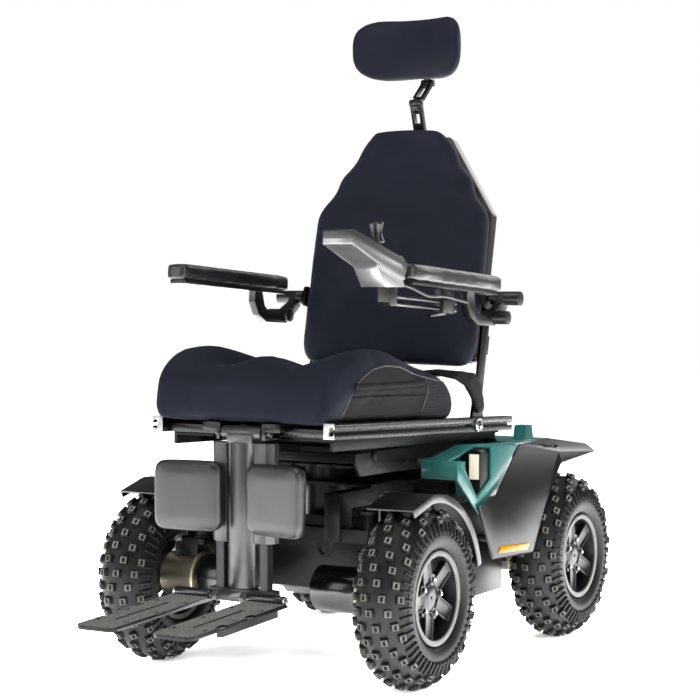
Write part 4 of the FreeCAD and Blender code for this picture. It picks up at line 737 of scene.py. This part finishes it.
def rim(name, side, axle_y, body):
    bm = bmesh.new()
    zero = Vector((0, 0, 0))
    axle = (1, 0, 0)
    lip = [(46.0, 91.0), (48.6, 90.0), (49.2, 88.0), (48.2, 80.5), (46.2, 79.0), (44.0, 82.0)]
    spun(bm, lip, zero, axle, 72, material=1)
    spun(bm, [(44.6, 80.5), (30.0, 78.0), (8.0, 76.0), (-20.0, 78.5), (-44.0, 82.0), (-46.0, 91.0),
              (-40.0, 90.0), (-10.0, 86.0), (20.0, 87.0), (44.6, 90.4)], zero, axle, 72)
    hub = [(20.0, 3.0), (34.0, 3.0), (35.5, 14.0), (33.0, 20.0), (30.0, 33.0), (26.0, 47.0), (20.0, 48.0)]
    spun(bm, hub, zero, axle, 48)
    for index in range(5):
        turn = math.radians(SPOKE_PHASE + 72.0 * index)
        made = bmesh.ops.create_cube(bm, size=1.0)["verts"]
        bmesh.ops.scale(bm, vec=(0.014, 0.034, 0.056), verts=made)
        bmesh.ops.translate(bm, vec=(0.027, 0, 0.053), verts=made)
        for vert in made:
            if vert.co.z > 0.07:
                vert.co.y *= 0.95
                vert.co.x += 0.006
        faces = {f for v in made for f in v.link_faces}
        front = max(faces, key=lambda f: f.normal.x)
        groove = bmesh.ops.inset_region(bm, faces=[front], thickness=0.0045)
        bmesh.ops.inset_region(bm, faces=[front], thickness=0.001, depth=-0.004)
        whole = {v for f in list(faces) + groove["faces"] + [front] for v in f.verts}
        linked = set(whole)
        for vert in whole:
            for edge in vert.link_edges:
                linked.add(edge.other_vert(vert))
        edges = {e for v in linked for e in v.link_edges if e.calc_face_angle(0.0) > 0.5}
        bmesh.ops.rotate(bm, cent=zero, matrix=Matrix.Rotation(turn, 3, "X"), verts=list(linked))
        bevelled(bm, 1.6, edges=list(edges))
    if side < 0:
        bmesh.ops.scale(bm, vec=(-1.0, 1.0, 1.0), verts=bm.verts)
        bmesh.ops.reverse_faces(bm, faces=bm.faces)
    for index in range(5):
        turn = math.radians(-85.0 + 72.0 * index)
        x0, x1 = side * 24.0, side * 36.0
        y, z = -NUT_CIRCLE * math.sin(turn), NUT_CIRCLE * math.cos(turn)
        nut = (x0, x1, 5.6, 0, 6)
        stud = (x1, x1 + side * 2.5, 3.4, 2, 16)
        boss = (side * 22.0, side * 33.0, 11.0, 0, 24)
        for start_x, end_x, radius, finish, count in (nut, stud, boss):
            bar(bm, (start_x, y - DATUM_SHIFT, z), (end_x, y - DATUM_SHIFT, z), radius, count, finish)
    bmesh.ops.translate(bm, vec=mm(side * WHEEL_X, axle_y, AXLE_Z), verts=bm.verts)
    obj = piece(name, bm, [rim_black, rim_grey, zinc_steel], body, 40.0, recalc=False)
    return obj


for end, axle_y in (("front", -AXLE_Y), ("rear", AXLE_Y)):
    for word, side in (("left", 1), ("right", -1)):
        place = end + "_" + word
        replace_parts(tyre("tread_" + place, side, axle_y, "wheel_" + place), "tyre_" + place)
        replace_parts(rim("spoked_rim_" + place, side, axle_y, "wheel_" + place), "rim_" + place)


# Camera, light and floor

camera_data = bpy.data.cameras.new("camera")
camera_data.lens = 99.5
camera_data.clip_end = 60.0
camera = bpy.data.objects.new("camera", camera_data)
camera.location = mm(2051.4, -3526.5, 781.1)
camera.rotation_euler = (mm(-45, 0, 628.3) - camera.location).to_track_quat("-Z", "Y").to_euler()
bpy.context.scene.collection.objects.link(camera)
bpy.context.scene.camera = camera


def area_light(name, place, size, power, aim=(0, 0, 600)):
    data = bpy.data.lights.new(name, "AREA")
    data.shape = "RECTANGLE"
    data.size, data.size_y = size
    data.energy = power
    light = bpy.data.objects.new(name, data)
    light.location = mm(*place)
    light.rotation_euler = (mm(*aim) - light.location).to_track_quat("-Z", "Y").to_euler()
    bpy.context.scene.collection.objects.link(light)


area_light("softbox_high", (200, -900, 3300), (2.6, 2.6), 62)
area_light("softbox_left", (3000, -1200, 1500), (1.6, 2.4), 42)
area_light("softbox_front", (-1800, -3000, 1500), (1.8, 2.0), 40)
area_light("softbox_rear", (600, 3000, 2000), (2.4, 1.6), 40)

world = bpy.data.worlds.new("studio")
bpy.context.scene.world = world
world.use_nodes = True
sky = world.node_tree
sky.nodes.clear()
ray = add(sky, "ShaderNodeLightPath")
seen = add(sky, "ShaderNodeMath", {0: ray.outputs["Is Camera Ray"], 1: ray.outputs["Is Transmission Ray"]},
           operation="MAXIMUM")
fill = add(sky, "ShaderNodeBackground", {"Color": (1, 1, 1, 1), "Strength": 0.14})
white = add(sky, "ShaderNodeBackground", {"Color": (1, 1, 1, 1), "Strength": 1.0})
mix = add(sky, "ShaderNodeMixShader", {"Fac": seen.outputs[0], 1: fill.outputs[0], 2: white.outputs[0]})
add(sky, "ShaderNodeOutputWorld", {"Surface": mix.outputs[0]})

floor_mesh = bmesh.new()
bmesh.ops.create_grid(floor_mesh, x_segments=1, y_segments=1, size=12.0)
floor_data = bpy.data.meshes.new("floor")
floor_mesh.to_mesh(floor_data)
floor_mesh.free()
floor = bpy.data.objects.new("floor", floor_data)
bpy.context.scene.collection.objects.link(floor)
floor_paint, floor_tree, floor_shader = start("pale_studio_floor")
floor_tree.nodes.remove(floor_shader)
floor_ray = add(floor_tree, "ShaderNodeLightPath")
floor_seen = add(floor_tree, "ShaderNodeMath", {0: floor_ray.outputs["Is Camera Ray"],
                                                1: floor_ray.outputs["Is Glossy Ray"]}, operation="MAXIMUM")
floor_tone = add(floor_tree, "ShaderNodeMapRange", {"Value": floor_seen.outputs[0], "To Min": 0.55,
                                                    "To Max": 9.0})
floor_cover = add(floor_tree, "ShaderNodeBsdfDiffuse", {"Color": floor_tone.outputs[0]})
floor_tree.links.new(floor_cover.outputs[0], floor_tree.nodes["Material Output"].inputs["Surface"])
floor_data.materials.append(floor_paint)

bpy.context.scene.view_settings.view_transform = "Standard"
